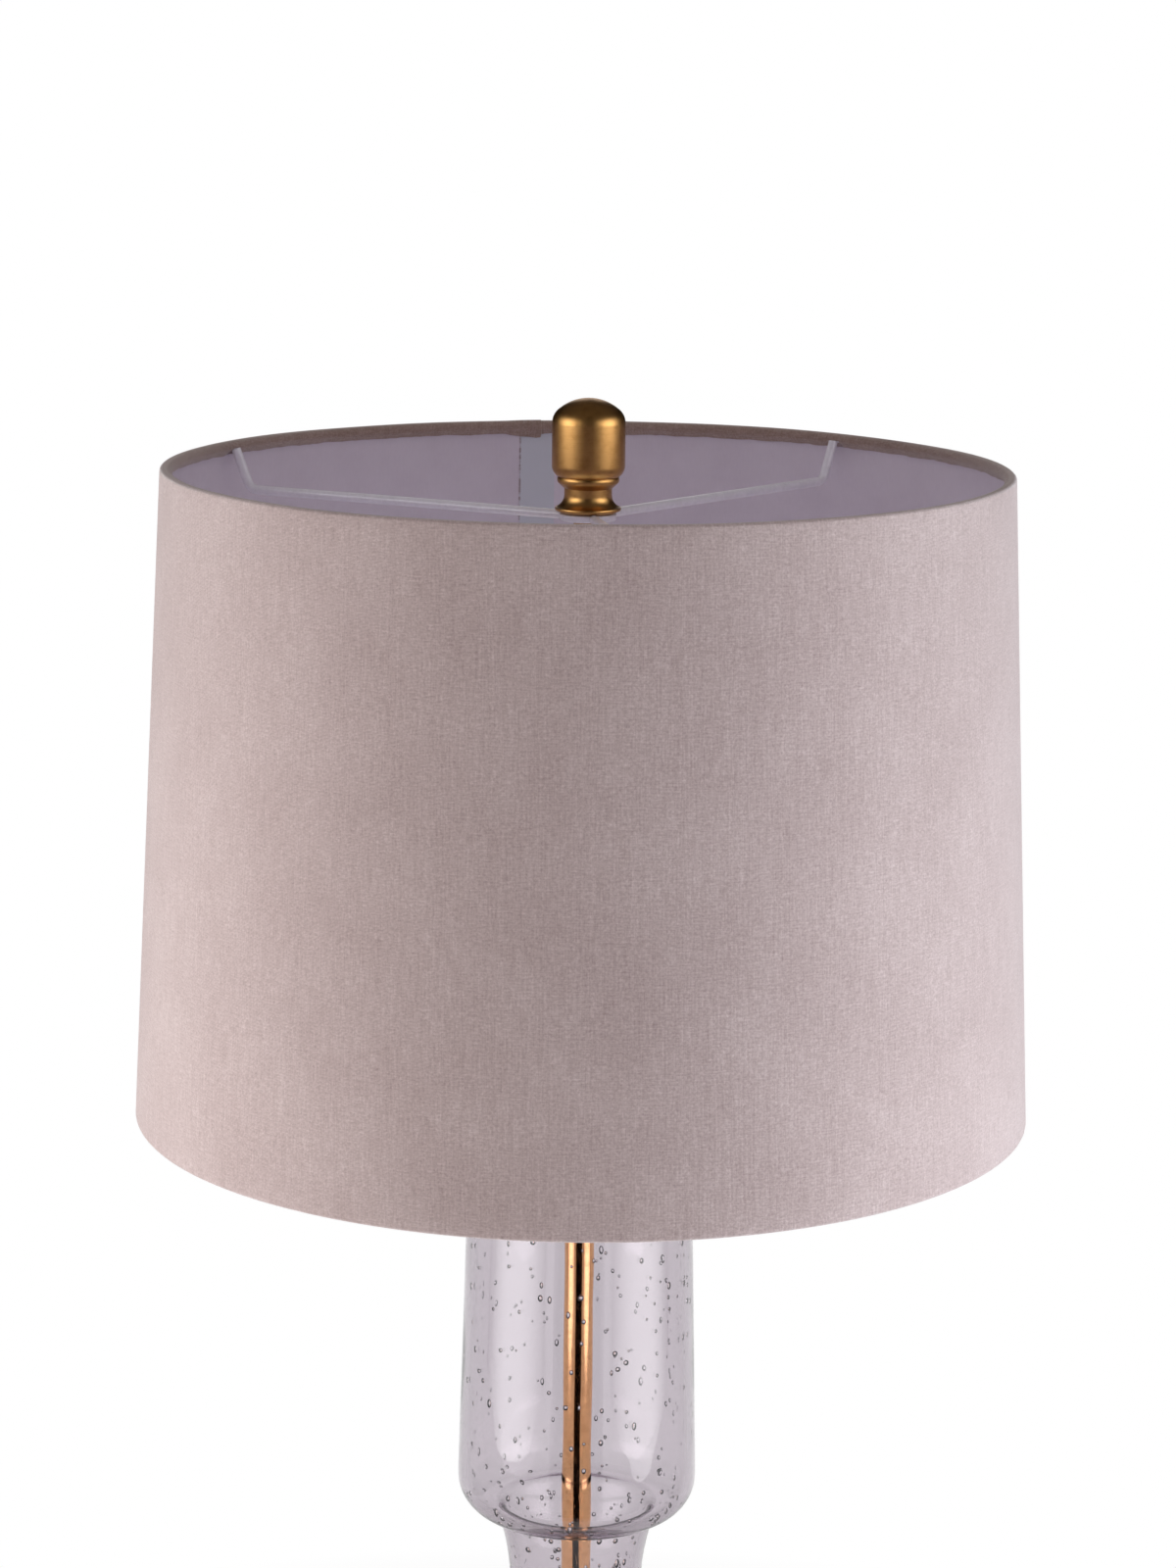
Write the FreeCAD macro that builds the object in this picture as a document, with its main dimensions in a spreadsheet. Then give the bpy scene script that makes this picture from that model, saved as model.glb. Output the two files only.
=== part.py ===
import FreeCAD, Part
import os
import re

import Sketcher

# A candlestick table lamp: a brass foot, a blown glass column with a brass tube inside it, a lamp
# holder on a harp, and a linen drum shade on a three-armed wire spider under a turned brass finial.
# Millimetres. The origin is the centre of the felt that the lamp stands on, +Z is up, -Y is the front.

Vector = FreeCAD.Vector
doc = FreeCAD.newDocument("CandlestickLamp")
sizes = doc.addObject("Spreadsheet::Sheet", "Sizes")
places = doc.addObject("App::VarSet", "Places")
pieces = []
same_place = 1e-6  # millimetres between two points taken as one
least_cut = 1e-3  # cubic millimetres that a hole has to remove

# ---------------------------------------------------------------- driving sizes

SIZES = [
    # fits
    ("thread_gap", 0.05, "screwed and running fits, on the radius"),
    ("skin_gap", 0.05, "glue line between the layers of the shade"),
    ("seat_gap", 0.2, "between a moving piece and the seat that it rests on"),
    ("slip_gap", 0.35, "loose holes and sleeves, on the radius"),
    # foot
    ("pad_thickness", 2, "felt"),
    ("pad_inset", 1, "felt edge inside the foot's edge"),
    ("foot_margin", 4, "foot beyond the glass"),
    ("foot_ledge", 0.5, "flat step beside the moulding"),
    ("foot_cove", 8, "radius of the hollow moulding"),
    ("foot_wall", 3, "wall of the foot"),
    ("foot_edge", 1.5, "rounded edges of the foot"),
    ("weight_height", 13, "ballast disc"),
    ("weight_gap", 1, "ballast to foot wall"),
    ("cover_thickness", 1.5, "fibre disc under the foot"),
    ("cover_gap", 0.3, "fibre disc to foot wall"),
    ("washer_radius", 12, "plain washer"),
    ("washer_height", 1.5, "plain washer"),
    ("lock_washer_radius", 8.5, "lock washer"),
    ("lock_washer_height", 1.2, "lock washer"),
    ("nut_flats", 14, "hexagon nuts, across flats"),
    ("nut_height", 4, "hexagon nuts"),
    ("pipe_overhang", 1, "pipe below its bottom nut"),
    ("pipe_room", 0.8, "pipe above the fibre disc"),
    ("inlet_level", 6.2, "cord inlet above the foot's lower edge"),
    ("inlet_bore", 3.3, "bore of the bushing, radius"),
    ("inlet_body", 4.2, "bushing in the wall, radius"),
    ("inlet_flange", 5.2, "bushing outside the wall, radius"),
    ("inlet_barb", 4.6, "bushing inside the wall, radius"),
    ("inlet_lip", 1.2, "thickness of flange and barb"),
    ("inlet_play", 0.5, "barb to the curved wall"),
    # column
    ("pipe_radius", 5, "threaded pipe"),
    ("pipe_bore", 3.5, "threaded pipe, radius of the wireway"),
    ("tube_wall", 1, "half-inch brass tube around the pipe"),
    ("seat_thickness", 1, "rings above and below the glass"),
    ("seat_width", 8.5, "ring under the glass"),
    ("seat_inset", 1.5, "ring's edge inside the glass foot's"),
    ("glass_wall", 4, "blown glass, measured level"),
    ("glass_foot_radius", 62, "bell foot"),
    ("glass_foot_band", 30, "height of the straight band"),
    ("glass_foot_rise", 100, "bell foot from band to waist"),
    ("waist_radius", 25, "waist under the knop"),
    ("knop_radius", 39, "knop"),
    ("knop_rise", 38, "waist to knop"),
    ("knop_fall", 40, "knop to neck"),
    ("neck_depth", 6.4, "neck inside the fold"),
    ("neck_rise", 35, "neck to the cup's underside"),
    ("fold_ledge", 0.4, "flat underside between neck and cup"),
    ("cup_radius", 52.1, "cup at the foot of its side"),
    ("cup_corner", 16.5, "rounded underside of the cup"),
    ("cup_height", 158, "cup, underside to shoulder"),
    ("cup_taper", 3.5, "cup narrower at the top of its side"),
    ("shoulder_corner", 12, "rounded shoulder of the cup"),
    ("mouth_gap", 2.65, "hole in the shoulder around the tube"),
    ("cap_radius", 30, "brass cap"),
    ("cap_height", 9, "brass cap"),
    ("cap_wall", 1.5, "brass cap"),
    ("cap_table", 12, "flat top of the cap, radius"),
    ("cap_ring_width", 6, "ring under the cap"),
    ("spacer_height", 11, "turned neck"),
    ("spacer_radius", 9, "turned neck, ends"),
    ("spacer_waist", 7, "turned neck, middle"),
    ("spacer_lip", 2, "turned neck, straight ends"),
    # harp
    ("strap_thickness", 1.5, "saddle and harp feet"),
    ("strap_width", 13, "saddle"),
    ("saddle_flat", 10, "half length of the saddle's level part"),
    ("saddle_rise", 7, "saddle wings"),
    ("leg_gap", 2.3, "locking sleeve to the holder"),
    ("prong_width", 5, "prongs and harp feet"),
    ("prong_height", 12, "saddle prongs"),
    ("foot_tail", 3, "harp foot beyond the prong, in the wire"),
    ("harp_height", 254, "saddle to shade seat, ten inches"),
    ("harp_wire", 1.9, "harp wire, radius"),
    ("bulb_room", 27, "globe to the middle of the wire at its widest"),
    ("harp_leg_straight", 34, "straight leg above the saddle's shoulder"),
    ("harp_knee", 60, "outward bend, radius"),
    ("harp_bow", 45, "top bend, radius"),
    ("sleeve_wall", 1, "locking sleeves"),
    ("sleeve_length", 14, "locking sleeves"),
    ("boss_radius", 6, "boss at the top of the harp"),
    ("boss_height", 8, "boss at the top of the harp"),
    ("stud_flange", 6, "stud flange, radius"),
    ("stud_flange_height", 2, "stud flange"),
    ("stud_shank", 2.5, "stud inside the boss, radius"),
    ("stud_peen", 3.6, "stud's riveted end, radius"),
    ("stud_peen_height", 1.5, "stud's riveted end"),
    ("stud_radius", 3.175, "quarter-inch thread, radius"),
    ("stud_length", 11, "thread above the spider's hub"),
    # lamp holder
    ("holder_hub_radius", 7.5, "hub of the holder's cap"),
    ("holder_hub_height", 5, "hub of the holder's cap"),
    ("holder_gap", 1.35, "screw shell to card tube"),
    ("holder_cap_height", 17, "holder's cap"),
    ("holder_cap_rim", 4, "straight rim of the cap"),
    ("holder_wall", 0.7, "cap and shell"),
    ("shell_length", 44, "brass shell"),
    ("shell_insert", 3, "shell inside the cap's rim"),
    ("liner_wall", 0.7, "card tube"),
    ("liner_recess", 1, "card tube inside the shell's ends"),
    ("core_height", 13, "insulating core"),
    ("core_gap", 0.3, "core to card tube"),
    ("thread_shell_wall", 0.4, "screw shell"),
    ("thread_shell_height", 22, "screw shell"),
    ("contact_width", 4, "centre contact"),
    ("contact_thickness", 0.5, "centre contact"),
    ("contact_rise", 2.6, "centre contact's step"),
    ("contact_reach", 4, "centre contact from the axis"),
    ("terminal_head", 2.6, "terminal screw heads, radius"),
    ("terminal_head_height", 1.6, "terminal screw heads"),
    ("terminal_shank", 1.5, "terminal screws, radius"),
    ("terminal_length", 6, "terminal screws, shank"),
    ("terminal_depth", 3.4, "notches in the core"),
    ("terminal_notch", 9, "notch width and height"),
    ("cap_screw_radius", 1.5, "screw in the cap's hub"),
    ("cap_screw_head", 2.6, "its head, radius"),
    ("cap_screw_head_height", 1.6, "its head"),
    ("stem_radius", 1.5, "switch stem"),
    ("stem_start", 2, "switch stem's inner end from the axis"),
    ("stem_length", 26, "switch stem"),
    ("stem_level", 6, "switch stem above the core's foot"),
    ("knob_radius", 5.5, "switch knob"),
    ("knob_length", 10, "switch knob"),
    ("knob_grip", 6, "stem inside the knob"),
    # bulb
    ("bulb_cap_radius", 13.1, "screw cap"),
    ("bulb_cap_wall", 0.4, "screw cap"),
    ("bulb_cap_height", 22, "screw cap"),
    ("bulb_tip_radius", 4.5, "contact"),
    ("bulb_tip_height", 1, "contact"),
    ("bulb_base_height", 3.5, "insulator"),
    ("bulb_neck_gap", 0.5, "glass inside the cap"),
    ("bulb_neck_height", 8, "glass inside the cap"),
    ("bulb_radius", 30, "globe"),
    ("bulb_rise", 48, "cap's upper edge to globe centre"),
    ("bulb_wall", 1, "bulb glass"),
    # shade
    ("shade_top_radius", 177.8, "seven inches"),
    ("shade_bottom_radius", 190.5, "seven and a half inches"),
    ("shade_height", 276, "eleven inches and its rolled edges"),
    ("fabric_thickness", 0.8, "linen"),
    ("liner_thickness", 0.5, "translucent styrene"),
    ("hem_thickness", 0.5, "linen turned over the ring"),
    ("hem_edge", 0.6, "bevel of the turned edge"),
    ("hem_height", 7, "turned linen inside the shade"),
    ("hem_tuck", 2, "turned linen between ring and outer linen"),
    ("ring_wire", 1.6, "ring wire, radius"),
    ("ring_gap", 0.2, "ring to the linen around it"),
    ("arm_wire", 2, "spider wire, radius"),
    ("arm_bend", 5, "bend of the arms, radius"),
    ("knee_setback", 7.85, "where the arms turn up, inside the ring"),
    ("weld_gap", 0.2, "weld between arm and ring"),
    ("notch_gap", 0.8, "hem notch beside an arm"),
    ("hub_radius", 12, "spider's hub"),
    ("hub_thickness", 3, "spider's hub"),
    ("hub_edge", 0.8, "rounded edge of the hub"),
    ("shade_recess", 19, "hub's top below the shade's rim"),
    ("arm_one_azimuth", 50.5, "degrees from +X"),
    ("arm_two_azimuth", 153, "degrees from +X"),
    ("arm_three_azimuth", 282, "degrees from +X"),
    # finial
    ("finial_height", 48, "finial"),
    ("finial_radius", 15.3, "barrel of the finial"),
    ("finial_shoulder", 10.4, "top of the finial above its barrel"),
    ("finial_dome", 4.2, "flat dome of the finial"),
    ("finial_dome_radius", 12, "edge of the dome"),
    ("finial_barrel_foot", 20, "foot of the barrel"),
    ("finial_bead_radius", 12.7, "bead under the barrel"),
    ("finial_bead_level", 12.8, "bead's lower edge"),
    ("finial_bead_height", 2.4, "bead"),
    ("finial_neck_radius", 10, "neck of the finial"),
    ("finial_neck_level", 7.6, "foot of the neck"),
    ("finial_neck_height", 2.8, "neck of the finial"),
    ("finial_foot_radius", 13.7, "foot of the finial"),
    ("finial_foot_height", 2.4, "foot of the finial"),
    ("finial_seat_radius", 11, "face that sits on the hub"),
    ("finial_bore_depth", 13, "threaded hole"),
]

# ---------------------------------------------------------------- places worked out from the sizes

PLACES = [
    ("tube_radius", "pipe_radius + slip_gap + tube_wall"),
    ("mouth_radius", "tube_radius + mouth_gap"),
    ("band_radius", "glass_foot_radius + foot_margin"),
    ("plinth_radius", "band_radius + foot_cove + foot_ledge + foot_edge"),
    ("plinth_height", "inlet_level + inlet_barb + seat_gap + foot_wall"),
    ("hardware_height", "nut_height + lock_washer_height + washer_height"),
    ("foot_height", "cover_thickness + pipe_room + pipe_overhang + hardware_height + weight_height"
                    " + foot_wall"),
    ("foot_level", "pad_thickness"),
    ("foot_top", "foot_level + foot_height"),
    ("weight_level", "foot_top - foot_wall - weight_height"),
    ("washer_level", "weight_level - washer_height"),
    ("lock_washer_level", "washer_level - lock_washer_height"),
    ("base_nut_level", "lock_washer_level - nut_height"),
    ("pipe_level", "base_nut_level - pipe_overhang"),
    ("glass_level", "foot_top + seat_thickness"),
    ("fold_radius", "cup_radius - cup_corner - fold_ledge"),
    ("neck_radius", "fold_radius - neck_depth"),
    ("cup_top_radius", "cup_radius - cup_taper"),
    ("waist_place", "glass_foot_band + glass_foot_rise"),
    ("knop_place", "waist_place + knop_rise"),
    ("neck_place", "knop_place + knop_fall"),
    ("fold_place", "neck_place + neck_rise"),
    ("glass_height", "fold_place + cup_height"),
    ("cap_ring_level", "glass_level + glass_height"),
    ("cap_level", "cap_ring_level + seat_thickness"),
    ("spacer_level", "cap_level + cap_height"),
    ("lock_nut_level", "spacer_level + spacer_height"),
    ("saddle_level", "lock_nut_level + nut_height"),
    ("holder_level", "saddle_level + strap_thickness"),
    ("pipe_length", "holder_level + holder_hub_height - pipe_level"),
    ("thread_shell_bore", "bulb_cap_radius + slip_gap"),
    ("card_bore", "thread_shell_bore + thread_shell_wall + holder_gap"),
    ("card_radius", "card_bore + liner_wall"),
    ("core_radius", "card_bore - core_gap"),
    ("shell_radius", "card_radius + skin_gap + holder_wall"),
    ("holder_cap_radius", "shell_radius + skin_gap + holder_wall"),
    ("terminal_floor", "core_radius - terminal_depth"),
    ("sleeve_bore", "sqrt((prong_width / 2) ^ 2 + strap_thickness ^ 2) + slip_gap"),
    ("leg_reach", "holder_cap_radius + leg_gap + sleeve_wall + sleeve_bore"),
    ("prong_reach", "leg_reach + strap_thickness"),
    ("harp_half_width", "bulb_radius + bulb_room"),
    ("hub_level", "saddle_level + harp_height"),
    ("stud_level", "hub_level - seat_gap"),
    ("boss_level", "stud_level - stud_flange_height - seat_gap - boss_height"),
    ("bow_place", "boss_level + boss_height / 2 - saddle_level - harp_bow"),
    ("bend_run", "harp_half_width - harp_bow - leg_reach - harp_knee"),
    ("bend_lift", "bow_place - harp_leg_straight"),
    ("core_level", "holder_level + holder_cap_height"),
    ("bulb_level", "core_level + core_height + contact_rise + contact_thickness + seat_gap"),
    ("bulb_neck_radius", "bulb_cap_radius - bulb_cap_wall - bulb_neck_gap"),
    ("bulb_cap_place", "bulb_tip_height + bulb_base_height"),
    ("bulb_glass_place", "bulb_cap_place + bulb_cap_height"),
    ("finial_level", "hub_level + hub_thickness"),
    ("rim_level", "finial_level + shade_recess"),
    ("shade_level", "rim_level - shade_height"),
    ("shade_slope", "(shade_bottom_radius - shade_top_radius) / shade_height"),
    ("hem_radius", "ring_wire + ring_gap + hem_thickness"),
    ("top_ring_radius", "shade_top_radius - fabric_thickness - skin_gap - hem_radius"),
    ("bottom_ring_radius", "shade_bottom_radius - shade_slope * (hem_radius + hem_tuck)"
                           " - fabric_thickness - skin_gap - hem_radius"),
    ("liner_offset", "fabric_thickness + skin_gap"),
    ("hem_offset", "liner_offset + liner_thickness + skin_gap"),
    ("liner_margin", "hem_radius + hem_tuck + skin_gap"),
    ("knee_reach", "top_ring_radius - ring_wire - knee_setback"),
    ("arm_lift", "rim_level - hem_radius - finial_level + hub_thickness / 2"),
    ("arm_length", "sqrt(knee_setback ^ 2 + arm_lift ^ 2)"),
    ("arm_slant", "arm_length - ring_wire * (1 - knee_setback / arm_length) - weld_gap"),
]

ANGLES = [
    ("wing_slope", "atan2(saddle_rise; prong_reach - saddle_flat)"),
    ("arm_slope", "atan2(arm_lift; knee_setback)"),
    ("harp_flare", "atan2(bend_run; bend_lift)"
                   " + asin((harp_knee + harp_bow) / sqrt(bend_run ^ 2 + bend_lift ^ 2))"),
    ("bulb_flare", "atan2(bulb_rise; bulb_neck_radius)"
                   " - acos(bulb_radius / sqrt(bulb_neck_radius ^ 2 + bulb_rise ^ 2))"),
]


def bound(text):
    """The expression with each size and place written as a cell or property of the document."""
    def address(found):
        word = found.group(0)
        if word in cells:
            return "Sizes." + word
        return "Places." + word
    return re.sub(r"[a-z]+(_[a-z]+)+", address, text)


def number(text):
    """The present value of an expression."""
    value = sizes.evalExpression(bound(text))
    return float(getattr(value, "Value", value))


cells = {name for name, value, meaning in SIZES}
for row, (name, value, meaning) in enumerate(SIZES, 1):
    sizes.set("A%d" % row, meaning)
    sizes.set("B%d" % row, str(value))
    sizes.setAlias("B%d" % row, name)
doc.recompute()
for name, text in PLACES:
    places.addProperty("App::PropertyFloat", name)
    places.setExpression(name, bound(text))
    doc.recompute()
for name, text in ANGLES:
    places.addProperty("App::PropertyAngle", name)
    places.setExpression(name, bound(text))
    doc.recompute()


# ---------------------------------------------------------------- ways of making a piece

def new_body(label, level="0"):
    """A body whose label names its file, standing at a level above the felt."""
    body = doc.addObject("PartDesign::Body", label)
    body.Label = label
    body.setExpression("Placement.Base.z", bound(level))
    pieces.append(body)
    return body


def origin_plane(body, role):
    """One of the planes of a body's own origin."""
    return next(item for item in body.Origin.OriginFeatures if item.Role == role)


def new_sketch(body, name, role):
    """An empty sketch on one of the body's own origin planes."""
    sketch = body.newObject("Sketcher::SketchObject", name)
    sketch.AttachmentSupport = [(origin_plane(body, role), "")]
    sketch.MapMode = "FlatFace"
    return sketch


def fix_point(sketch, geometry, position, across, up):
    """Tie a sketch point to the two expressions of its place."""
    for kind, axis, text in (("DistanceX", -2, across), ("DistanceY", -1, up)):
        if text == "0":
            sketch.addConstraint(Sketcher.Constraint("PointOnObject", geometry, position, axis))
        else:
            index = sketch.addConstraint(Sketcher.Constraint(kind, -1, 1, geometry, position, number(text)))
            sketch.setExpression("Constraints[%d]" % index, bound(text))


def outline(body, name, corners, role="XZ_Plane", closed=True):
    """A chain of lines and arcs through corners (across, up) or (across, up, bend).

    bend is the radius of the arc to the next corner, with a minus sign where the chain turns right.
    """
    sketch = new_sketch(body, name, role)
    spots = [Vector(number(corner[0]), number(corner[1]), 0) for corner in corners]
    chain = list(zip(range(len(corners)), list(range(1, len(corners))) + [0]))
    if not closed:
        chain.pop()
    ends = []
    for first, last in chain:
        start = spots[first]
        chord = spots[last] - start
        if len(corners[first]) == 2:
            index = sketch.addGeometry(Part.LineSegment(start, spots[last]))
        else:
            bend = number(corners[first][2])
            left = Vector(-chord.y, chord.x, 0).normalize()
            depth = abs(bend) - (bend * bend - chord.Length ** 2 / 4) ** 0.5
            middle = start + chord * 0.5 - left * (depth if bend > 0 else -depth)
            index = sketch.addGeometry(Part.Arc(start, middle, spots[last]))
            radius = sketch.addConstraint(Sketcher.Constraint("Radius", index, abs(bend)))
            sketch.setExpression("Constraints[%d]" % radius, "abs(" + bound(corners[first][2]) + ")")
        near = 1 if sketch.getPoint(index, 1).distanceToPoint(start) < same_place else 2
        ends.append((index, near, 3 - near))
        fix_point(sketch, index, near, corners[first][0], corners[first][1])
    for (index, near, far), (following, begins, finishes) in zip(ends, ends[1:]):
        sketch.addConstraint(Sketcher.Constraint("Coincident", index, far, following, begins))
    if closed:
        (final, begins, finishes), (first, start, other) = ends[-1], ends[0]
        sketch.addConstraint(Sketcher.Constraint("Coincident", final, finishes, first, start))
    else:
        fix_point(sketch, ends[-1][0], ends[-1][2], corners[-1][0], corners[-1][1])
    return sketch


def circles(body, name, rounds, role="XY_Plane"):
    """A sketch of circles (across, up, radius)."""
    sketch = new_sketch(body, name, role)
    for across, up, radius in rounds:
        middle = Vector(number(across), number(up), 0)
        index = sketch.addGeometry(Part.Circle(middle, Vector(0, 0, 1), number(radius)))
        fix_point(sketch, index, 3, across, up)
        size = sketch.addConstraint(Sketcher.Constraint("Radius", index, number(radius)))
        sketch.setExpression("Constraints[%d]" % size, bound(radius))
    return sketch


def revolve(body, sketch):
    """Turn a sketch of the XZ plane about the body's Z axis."""
    feature = body.newObject("PartDesign::Revolution", sketch.Name + "_turned")
    feature.Profile = sketch
    feature.ReferenceAxis = (sketch, ["V_Axis"])
    feature.Angle = 360
    return feature


def turned(label, level, corners):
    """A piece turned on a lathe: its half section is (radius, height above its level)."""
    body = new_body(label, level)
    revolve(body, outline(body, label + "_section", corners))
    return body


def tube(label, level, outside, inside, height):
    """A plain tube or ring."""
    return turned(label, level, [(inside, "0"), (outside, "0"), (outside, height), (inside, height)])


def disc(label, level, radius, height):
    """A plain disc."""
    return turned(label, level, [("0", "0"), (radius, "0"), (radius, height), ("0", height)])


def pad(body, sketch, length, midplane=False):
    """A straight extrusion of a sketch."""
    feature = body.newObject("PartDesign::Pad", sketch.Name + "_pad")
    feature.Profile = sketch
    feature.setExpression("Length", bound(length))
    feature.Midplane = midplane
    return feature


def drill(body, sketch, length, towards_front=False):
    """Cut a sketch of the XZ plane through one side of a body, and prove that it cut."""
    doc.recompute()
    before = body.Shape.Volume
    feature = body.newObject("PartDesign::Pocket", sketch.Name + "_cut")
    feature.Profile = sketch
    feature.setExpression("Length", bound(length))
    feature.Reversed = towards_front
    doc.recompute()
    if body.Shape.Volume > before - least_cut:
        raise RuntimeError(feature.Name + " cut nothing")
    return feature


def cut_box(body, name, corner, extent, azimuth=None):
    """Cut a box from a body; corner and extent are expressions, azimuth turns it about the Z axis."""
    feature = body.newObject("PartDesign::SubtractiveBox", name)
    for side, text in zip(("Length", "Width", "Height"), extent):
        feature.setExpression(side, bound(text))
    if azimuth:
        feature.Placement.Rotation = FreeCAD.Rotation(Vector(0, 0, 1), number(azimuth))
        feature.setExpression("Placement.Rotation.Angle", bound(azimuth))
        along, beside, above = corner
        corner = ("({0}) * cos({2} * 1 deg) - ({1}) * sin({2} * 1 deg)".format(along, beside, azimuth),
                  "({0}) * sin({2} * 1 deg) + ({1}) * cos({2} * 1 deg)".format(along, beside, azimuth), above)
    for letter, text in zip("xyz", corner):
        feature.setExpression("Placement.Base." + letter, bound(text))
    return feature


def flare_bend(run, rise):
    """Radius of an arc that starts upright and ends run further out and rise further along."""
    return "(({0}) ^ 2 + ({1}) ^ 2) / (2 * ({0}))".format(run, rise)


def dome_bend(radius, height):
    """Radius of a dome of this height, centred on the axis."""
    return flare_bend(height, radius)


def reverse_curve(start, finish, inward="0"):
    """Corners of a smooth curve of two equal arcs between upright ends (radius, height).

    inward moves the curve towards the axis by a wall. The last corner is left to what follows.
    """
    (radius, low), (next_radius, high) = start, finish
    bend = "((({1}) - ({0})) ^ 2 + (({3}) - ({2})) ^ 2) / (4 * (({1}) - ({0})))".format(
        radius, next_radius, low, high)
    middle_radius = "(({0}) + ({1})) / 2 - {2}".format(radius, next_radius, inward)
    middle_level = "(({0}) + ({1})) / 2".format(low, high)
    return [("{0} - {1}".format(radius, inward), low, "-1 * " + bend), (middle_radius, middle_level, bend)]


# ---------------------------------------------------------------- foot

def build_foot():
    """Brass foot with its felt, cover, ballast, clamping hardware and cord bushing."""
    disc("felt_pad", "0", "plinth_radius - pad_inset", "pad_thickness")
    disc("base_cover", "foot_level", "plinth_radius - foot_wall - cover_gap", "cover_thickness")
    foot = turned("base_foot", "foot_level", [
        ("plinth_radius - foot_wall", "0"),
        ("plinth_radius", "0"),
        ("plinth_radius", "plinth_height - foot_edge", "foot_edge"),
        ("plinth_radius - foot_edge", "plinth_height"),
        ("band_radius + foot_cove", "plinth_height", "-foot_cove"),
        ("band_radius", "plinth_height + foot_cove"),
        ("band_radius", "foot_height - foot_edge", "foot_edge"),
        ("band_radius - foot_edge", "foot_height"),
        ("pipe_radius + slip_gap", "foot_height"),
        ("pipe_radius + slip_gap", "foot_height - foot_wall"),
        ("band_radius - foot_wall", "foot_height - foot_wall"),
        ("band_radius - foot_wall", "plinth_height - foot_wall"),
        ("plinth_radius - foot_wall", "plinth_height - foot_wall"),
    ])
    hole = circles(foot, "inlet_hole", [("0", "inlet_level", "inlet_body + seat_gap")], "XZ_Plane")
    drill(foot, hole, "plinth_radius + inlet_lip")
    tube("base_weight", "weight_level", "band_radius - foot_wall - weight_gap", "pipe_radius + slip_gap",
         "weight_height")
    tube("base_washer", "washer_level", "washer_radius", "pipe_radius + slip_gap", "washer_height")
    tube("base_lock_washer", "lock_washer_level", "lock_washer_radius", "pipe_radius + slip_gap",
         "lock_washer_height")
    hexagon_nut("base_nut", "base_nut_level")
    bushing = turned("cord_bushing", "foot_level + inlet_level", [
        ("inlet_bore", "0"),
        ("inlet_barb", "0"),
        ("inlet_barb", "inlet_lip"),
        ("inlet_body", "inlet_lip"),
        ("inlet_body", "inlet_lip + foot_wall + inlet_play"),
        ("inlet_flange", "inlet_lip + foot_wall + inlet_play"),
        ("inlet_flange", "2 * inlet_lip + foot_wall + inlet_play"),
        ("inlet_bore", "2 * inlet_lip + foot_wall + inlet_play"),
    ])
    bushing.Placement.Rotation = FreeCAD.Rotation(Vector(1, 0, 0), -90)
    bushing.setExpression("Placement.Base.y", bound("plinth_radius - foot_wall - inlet_lip - inlet_play"))


def hexagon_nut(label, level):
    """A hexagon nut on the threaded pipe."""
    prism = doc.addObject("Part::Prism", label + "_hexagon")
    prism.Polygon = 6
    prism.setExpression("Circumradius", bound("nut_flats / sqrt(3)"))
    prism.setExpression("Height", bound("nut_height"))
    bore = doc.addObject("Part::Cylinder", label + "_bore")
    bore.setExpression("Radius", bound("pipe_radius + thread_gap"))
    bore.setExpression("Height", bound("nut_height"))
    nut = doc.addObject("Part::Cut", label)
    nut.Label = label
    nut.Base = prism
    nut.Tool = bore
    nut.setExpression("Placement.Base.z", bound(level))
    pieces.append(nut)


# ---------------------------------------------------------------- column

def glass_side(inward):
    """The column's side from its lower edge to its neck, moved inward by a wall."""
    foot = ("glass_foot_radius", "glass_foot_band")
    waist = ("waist_radius", "waist_place")
    knop = ("knop_radius", "knop_place")
    neck = ("neck_radius", "neck_place")
    corners = [("glass_foot_radius - " + inward, "0")]
    corners += reverse_curve(foot, waist, inward)
    corners += reverse_curve(waist, knop, inward)
    corners += reverse_curve(knop, neck, inward)
    return corners


def walked_back(corners):
    """The same chain of corners walked the other way, for the inner side of a wall.

    Each arc belongs to the corner that it starts from, so the bends move one corner along.
    """
    walked = []
    for index in range(len(corners) - 1, -1, -1):
        place = corners[index][:2]
        arc = corners[index - 1][2:] if index > 0 else ()
        walked.append(place + tuple("-1 * ({0})".format(bend) for bend in arc))
    return walked


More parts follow.
